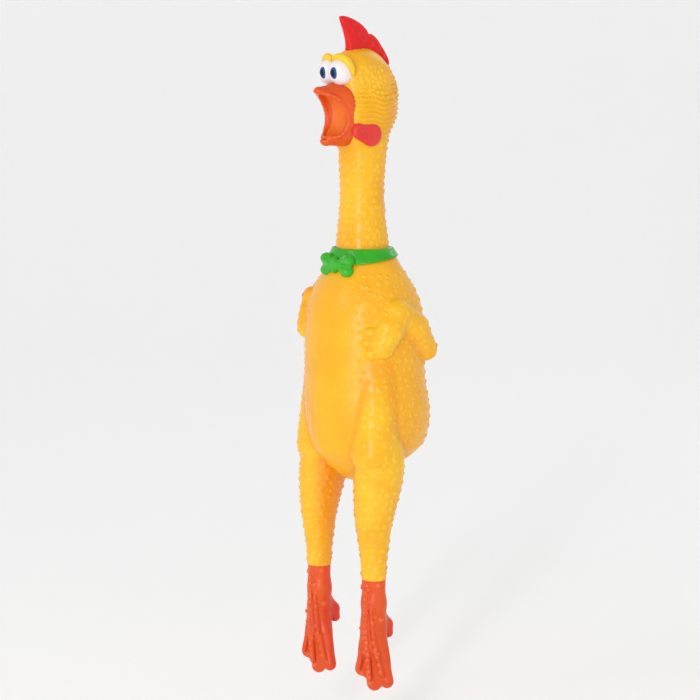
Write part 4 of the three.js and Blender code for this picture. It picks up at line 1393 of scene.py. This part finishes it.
@dataclass
class Leg:
    """A thigh and shin in one skin."""

    side: Side
    thigh: float = 15.2
    shin: float = 7.9
    bend: tuple[float, float] = (14.0, -16.0)
    step: float = 0.8

    def __post_init__(self) -> None:
        """Find this side's hip and ankle."""
        self.hip = PLACES.hip * at(self.side.sign, 1.0, 1.0)
        self.ankle = PLACES.ankle * at(self.side.sign, 1.0, 1.0)
        self.length = float(self.hip[2] - self.ankle[2])
        low, hip = float(self.ankle[2]), float(self.hip[2])
        self.column = Trunk([
            (low - 0.6, self.shin - 0.2, self.shin - 0.6, 0.0),
            (low + 8.0, self.shin, self.shin - 0.2, 0.0),
            (low + self.length * 0.27, 8.9, 8.8, 0.0),
            (low + self.length * 0.53, 11.2, 11.8, 0.2),
            (low + self.length * 0.78, 13.4, 14.6, 2.6),
            (hip, self.thigh - 0.4, self.thigh, 4.4),
            (hip + 16.0, self.thigh - 1.2, self.thigh - 0.4, 4.4),
            (hip + 28.0, self.thigh - 4.6, self.thigh - 4.0, 3.6),
        ], (0.0, 16.0))

    def field(self, p: Points) -> np.ndarray:
        """The column, leaning in slightly towards the trunk above the hip."""
        q = p - at(self.hip[0], self.hip[1], 0.0)
        lean = np.clip((p[:, 2] - self.hip[2]) / 28.0, 0.0, 1.0)
        q[:, 0] = q[:, 0] + np.sign(self.hip[0]) * lean * 2.5
        return self.column.field(q)

    def tone_and_shade(self, p: Points) -> np.ndarray:
        """Painted shade: deeper on the side that faces the other leg, and towards the back."""
        # Painted shade between the legs, strongest on the inner and rear sides.
        inward = -np.sign(self.hip[0]) * (p[:, 0] - self.hip[0]) / 10.0 + (p[:, 1] - self.hip[1]) / 40.0
        return 0.9 * np.clip(inward, 0.0, 1.0) ** 1.5

    def build(self, finish: bpy.types.Material, dots: bpy.types.Material) -> list[bpy.types.Object]:
        """Make the leg's skin and its pimples.

        Args:
            finish: The yellow vinyl.
            dots: The vinyl of the pimples.

        Returns:
            The pieces.
        """
        x, y = float(self.hip[0]), float(self.hip[1])
        low, high = float(self.ankle[2]), float(self.hip[2])
        skin = sculpted(
            f"leg_skin_{self.side.value}", self.field,
            (x - 18.0, y - 18.0, low - 2.0), (x + 18.0, y + 20.0, high + 30.0), self.step,
        )
        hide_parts(f"leg_{self.side.value}")
        middle = axis_through(x, y)
        spots, aims, _ = rows_round(self.field, middle, low + 3.0, high + 8.0, LEG_ROWS)
        name = f"leg_pimples_{self.side.value}"
        bumps = LEG_PIMPLES.grow(name, spots, aims, np.ones(len(spots)), dots)
        for piece, paint in ((skin, finish), (bumps, dots)):
            shade(piece, self.tone_and_shade)
            dress(piece, paint, "vinyl_yellow")
            start, end = ((x * MM, y * MM, (high + z) * MM) for z in self.bend)
            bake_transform(piece)
            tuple(start)
            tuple(end)
        return [skin, bumps]


@dataclass
class Foot:
    """A hanging foot: shank, three toes with webs between, and a spur behind."""

    side: Side
    splay: float = 20.0
    length: float = 69.0
    cord_radii: tuple[float, float, float] = (1.3, 1.7, 1.5)
    loose_beads: int = 26
    seed: int = 29
    bend: tuple[float, float] = (2.0, 22.0)
    step: float = 0.5

    def shank(self, p: Points) -> np.ndarray:
        """The shin below the ankle, a little flatter front to back than it is wide."""
        q = p * at(1.0, 1.14, 1.0)
        route = [at(0.0, 0.0, 0.6), at(0.0, 0.2, -16.0), at(-0.3, 0.3, -28.0), at(0.2, -0.4, -42.0)]
        return string(q, route, [7.5, 7.0, 7.0, 8.2], 5.0) / 1.07

    def toes(self, p: Points) -> np.ndarray:
        """Three toes that fan to one side, webbed to near their tips."""
        long = self.length
        form = egg(p, at(2.2, -2.0, 19.0 - long), at(10.2, 4.0, 16.0))
        for start, end, r0, r1 in (
            ((-2.6, -0.8, -36.0), (-6.2, -3.4, 12.6 - long), 4.4, 4.4),
            ((0.2, -1.0, -34.0), (2.4, -3.4, 4.9 - long), 4.8, 4.8),
            ((2.8, -0.6, -34.0), (10.4, -2.2, 6.8 - long), 4.4, 4.3),
        ):
            form = melt(form, bar(p, at(*start), at(*end), r0, r1, 0.86), 1.8)
        for low, high in (((-2.6, -9.0, 4.0 - long), (-3.2, -8.8, 24.0 - long)),
                          ((6.8, -8.4, 1.0 - long), (3.0, -9.2, 22.0 - long))):
            form = carve(form, bar(p, at(*high), at(*low), 1.4, 2.5), 1.5)
        return form

    def field(self, p: Points) -> np.ndarray:
        """The foot from its ankle down, before it is turned out."""
        form = melt(self.shank(p), self.toes(p), 4.0)
        for route in (
            ((-1.8, -6.0, -6.0), (-1.5, -6.3, -30.0), (2.2, -8.4, 9.0 - self.length)),
            ((1.6, -6.2, -18.0), (4.2, -6.6, -38.0), (9.8, -6.5, 11.0 - self.length)),
            ((-3.8, -5.0, -36.0), (-5.6, -6.8, 17.0 - self.length), (-6.2, -7.3, 14.0 - self.length)),
        ):
            form = melt(form, string(p, [at(*k) for k in route], self.cord_radii, 0.6), 0.8)
        spur = string(p, [
            at(2.6, 4.6, -23.0), at(4.0, 8.6, -30.0), at(4.4, 9.8, -35.4),
        ], [3.0, 3.7, 3.2], 2.0)
        form = melt(form, spur, 2.4)
        return keep(form, p[:, 2] - 0.4, 0.8)

    def beads(self) -> tuple[Points, Points]:
        """Small beads down the cords and scattered over the shank and toes.

        Returns:
            Where each stands and the direction it points in.
        """
        chance = np.random.default_rng(self.seed)
        lines = [
            np.linspace(at(-1.8, -20.0, -4.0), at(-1.5, -20.0, -32.0), 8),
            np.linspace(at(-1.3, -20.0, -35.0), at(2.3, -20.0, 6.0 - self.length), 9),
            np.linspace(at(4.0, -20.0, -38.0), at(10.0, -20.0, 9.0 - self.length), 6),
        ]
        loose = chance.uniform((-7.0, -20.0, 8.0 - self.length), (7.0, -20.0, -3.0), (self.loose_beads, 3))
        start = np.concatenate([*lines, loose])
        reach = np.linspace(0.0, 22.0, 90)
        grid = np.repeat(start, len(reach), axis=0)
        grid[:, 1] += np.tile(reach, len(start))
        hit = (self.field(grid) < 0).reshape(len(start), -1)
        found = hit.any(axis=1)
        start[:, 1] += reach[hit.argmax(axis=1)]
        spots = settle(self.field, start[found])
        aims = slopes(self.field, spots)
        return spots, aims / np.linalg.norm(aims, axis=1, keepdims=True)

    def turned(self, p: Points, place: np.ndarray) -> Points:
        """Turn points of the foot out and move them to its ankle."""
        turn = math.radians(self.splay)
        x, y = p[:, 0], p[:, 1]
        across = x * math.cos(turn) - y * math.sin(turn)
        back = x * math.sin(turn) + y * math.cos(turn)
        return np.stack([across, back, p[:, 2]], axis=1) + place

    def tone_and_shade(self, p: Points) -> np.ndarray:
        """Painted shade: deeper behind and on the side that faces the other foot."""
        place = PLACES.ankle * at(self.side.sign, 1.0, 1.0)
        # Painted shade behind the foot and on its inner side.
        inward = 0.5 * (place[0] - p[:, 0]) * self.side.sign
        return 0.9 * np.clip((inward + p[:, 1] - place[1]) / 9.0, 0, 1)

    def build(self, finish: bpy.types.Material, dots: bpy.types.Material) -> list[bpy.types.Object]:
        """Make the foot, turn it out and hang it from its ankle.

        Args:
            finish: The orange vinyl.
            dots: The vinyl of its beads.

        Returns:
            The pieces.
        """
        place = PLACES.ankle * at(self.side.sign, 1.0, 1.0)
        points, faces = sculpt(self.field, (-15.0, -14.0, -2.0 - self.length), (18.0, 15.0, 2.0), self.step)
        skin = mesh_piece(f"foot_skin_{self.side.value}", self.turned(points, place), faces)
        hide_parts(f"foot_{self.side.value}")
        spots, aims = self.beads()
        bumps = FOOT_BEADS.grow(
            f"foot_beads_{self.side.value}", self.turned(spots, place), self.turned(aims, at(0, 0, 0)),
            np.ones(len(spots)), dots,
        )
        start, end = (place - at(0.0, 0.0, drop) for drop in self.bend)
        for piece, paint in ((skin, finish), (bumps, dots)):
            shade(piece, self.tone_and_shade)
            dress(piece, paint, "vinyl_orange")
            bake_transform(piece)
        return [skin, bumps]


# ---------------------------------------------------------------------------------------------
# Stage
# ---------------------------------------------------------------------------------------------


@dataclass(frozen=True)
class Studio:
    """Pale floor and backdrop, soft lights and the camera."""

    azimuth: float = 50.0
    elevation: float = 8.0
    distance: float = 1.40
    focal: float = 118.5
    aim_height: float = -92.5
    aim_across: float = -7.2
    floor_gap: float = 0.03
    floor_reach: float = 1.6
    floor_bend: float = 1.2
    floor_sides: int = 72
    backdrop_top: float = 3.2
    paper_glow: float = 0.14
    sky: float = 0.56

    def camera(self) -> None:
        """Stand the camera to the bird's left front, a little above its middle."""
        turn, rise = math.radians(self.azimuth), math.radians(self.elevation)
        across = Vector((math.cos(turn), math.sin(turn), 0.0)) * self.aim_across * MM
        target = across + Vector((0.0, 0.0, self.aim_height * MM))
        way = Vector((math.sin(turn) * math.cos(rise), -math.cos(turn) * math.cos(rise), math.sin(rise)))
        data = bpy.data.cameras.new("camera")
        data.lens = self.focal
        data.clip_end = 20.0
        camera = bpy.data.objects.new("camera", data)
        camera.location = target + way * self.distance
        camera.rotation_euler = (-way).to_track_quat("-Z", "Y").to_euler()
        bpy.context.scene.collection.objects.link(camera)
        bpy.context.scene.camera = camera

    def floor(self) -> None:
        """A pale floor that curves up into the backdrop all round."""
        base = CAD_BOX[0].z - self.floor_gap
        net = bmesh.new()
        flat, bend, top = self.floor_reach, self.floor_bend, self.backdrop_top
        curve = np.linspace(0.1, math.pi / 2, 12)
        profile = [(0.0, 0.0), (flat / 2, 0.0), (flat, 0.0)]
        profile += [(flat + bend * math.sin(a), bend - bend * math.cos(a)) for a in curve]
        profile.append((flat + bend, top))
        rings = []
        for reach, height in profile:
            spokes = 1 if reach == 0.0 else self.floor_sides
            rings.append([
                net.verts.new((
                    reach * math.cos(2 * math.pi * k / self.floor_sides),
                    reach * math.sin(2 * math.pi * k / self.floor_sides),
                    base + height,
                ))
                for k in range(spokes)
            ])
        for inner, outer in zip(rings, rings[1:]):
            for k in range(self.floor_sides):
                n = (k + 1) % self.floor_sides
                if len(inner) == 1:
                    net.faces.new((inner[0], outer[k], outer[n]))
                else:
                    net.faces.new((inner[k], outer[k], outer[n], inner[n]))
        mesh = bpy.data.meshes.new("backdrop")
        net.to_mesh(mesh)
        net.free()
        mesh.shade_smooth()
        backdrop = bpy.data.objects.new("backdrop", mesh)
        bpy.context.scene.collection.objects.link(backdrop)
        paper = bpy.data.materials.new("studio_paper")
        paper.use_nodes = True
        shader = paper.node_tree.nodes["Principled BSDF"]
        shader.inputs["Base Color"].default_value = (0.93, 0.93, 0.93, 1.0)
        shader.inputs["Roughness"].default_value = 0.9
        shader.inputs["Emission Color"].default_value = (1.0, 1.0, 1.0, 1.0)
        shader.inputs["Emission Strength"].default_value = self.paper_glow
        mesh.materials.append(paper)

    def lamp(self, name: str, place: Vector, size: tuple[float, float], power: float) -> None:
        """Hang a soft light of the given width and height that faces the bird."""
        data = bpy.data.lights.new(name, "AREA")
        data.shape = "RECTANGLE"
        data.size, data.size_y = size
        data.energy = power
        lamp = bpy.data.objects.new(name, data)
        lamp.location = place
        lamp.rotation_euler = (Vector((0.0, 0.0, -0.05)) - place).to_track_quat("-Z", "Y").to_euler()
        bpy.context.scene.collection.objects.link(lamp)

    def light(self) -> None:
        """A tall key strip and a low strip beside the camera, a fill, a rim light and an even sky."""
        turn = math.radians(self.azimuth)
        ahead = Vector((math.sin(turn), -math.cos(turn), 0.0))
        right = Vector((math.cos(turn), math.sin(turn), 0.0))
        up = Vector((0.0, 0.0, 1.0))
        for name, place, size, power in (
            ("key_light", ahead * 1.58 - right * 0.42 + up * 0.35, (0.09, 1.0), 6.0),
            ("low_light", ahead * 0.80 - right * 0.30 - up * 0.10, (0.06, 0.40), 0.75),
            ("fill_light", ahead * 0.9 - right * 1.3 + up * 0.9, (0.6, 0.6), 2.4),
            ("rim_light", -ahead * 1.2 + right * 0.9 + up * 1.0, (0.6, 0.6), 1.5),
        ):
            self.lamp(name, place, size, power)
        world = bpy.data.worlds.new("studio_sky")
        bpy.context.scene.world = world
        world.use_nodes = True
        sky = world.node_tree.nodes["Background"]
        sky.inputs["Color"].default_value = (1.0, 1.0, 1.0, 1.0)
        sky.inputs["Strength"].default_value = self.sky
        bpy.context.scene.view_settings.view_transform = "Standard"


def squawker(finish: bpy.types.Material) -> None:
    """Give the hidden squawker's own nodes their plastic."""
    for name in ("squawker_housing", "squawker_cap", "reed_block", "squawker_reed", "throat_ring"):
        dress(frame["nodes"][name], finish)


def main() -> None:
    """Build every sub-assembly in order and report its pieces."""
    logging.basicConfig(level=logging.INFO, format="%(name)s: %(message)s")
    studio = Studio()
    studio.camera()
    yellow = YELLOW.make()
    torso = Torso()
    trim_finishes = {
        "comb": COMB_RED.make(),
        "wattle": WATTLE_RED.make(),
        "eyelid": BROW.make(),
        "eyeball": EYE_WHITE.make(),
        "iris": IRIS_BLUE.make(),
        "pupil": PUPIL_BLACK.make(),
    }
    orange = FOOT_ORANGE.make()
    dots = PIMPLE_YELLOW.make()
    beads = PIMPLE_ORANGE.make()
    made = torso.build(yellow, dots)
    made += Collar(torso).build(COLLAR_GREEN.make())
    made += HeadAndNeck().build(yellow, dots)
    made += Beak().build(BEAK_ORANGE.make(), LINING_ORANGE.make())
    made += Trimmings().build(trim_finishes)
    for side, splay in ((Side.LEFT, 20.0), (Side.RIGHT, 10.0)):
        made += Leg(side).build(yellow, dots)
        made += Foot(side, splay).build(orange, beads)
    squawker(TUBE_PLASTIC.make())
    studio.floor()
    studio.light()
    for piece in made:
        LOG.info("%s: %d faces", piece.name, len(piece.data.polygons))


if __name__ == "__main__":
    main()
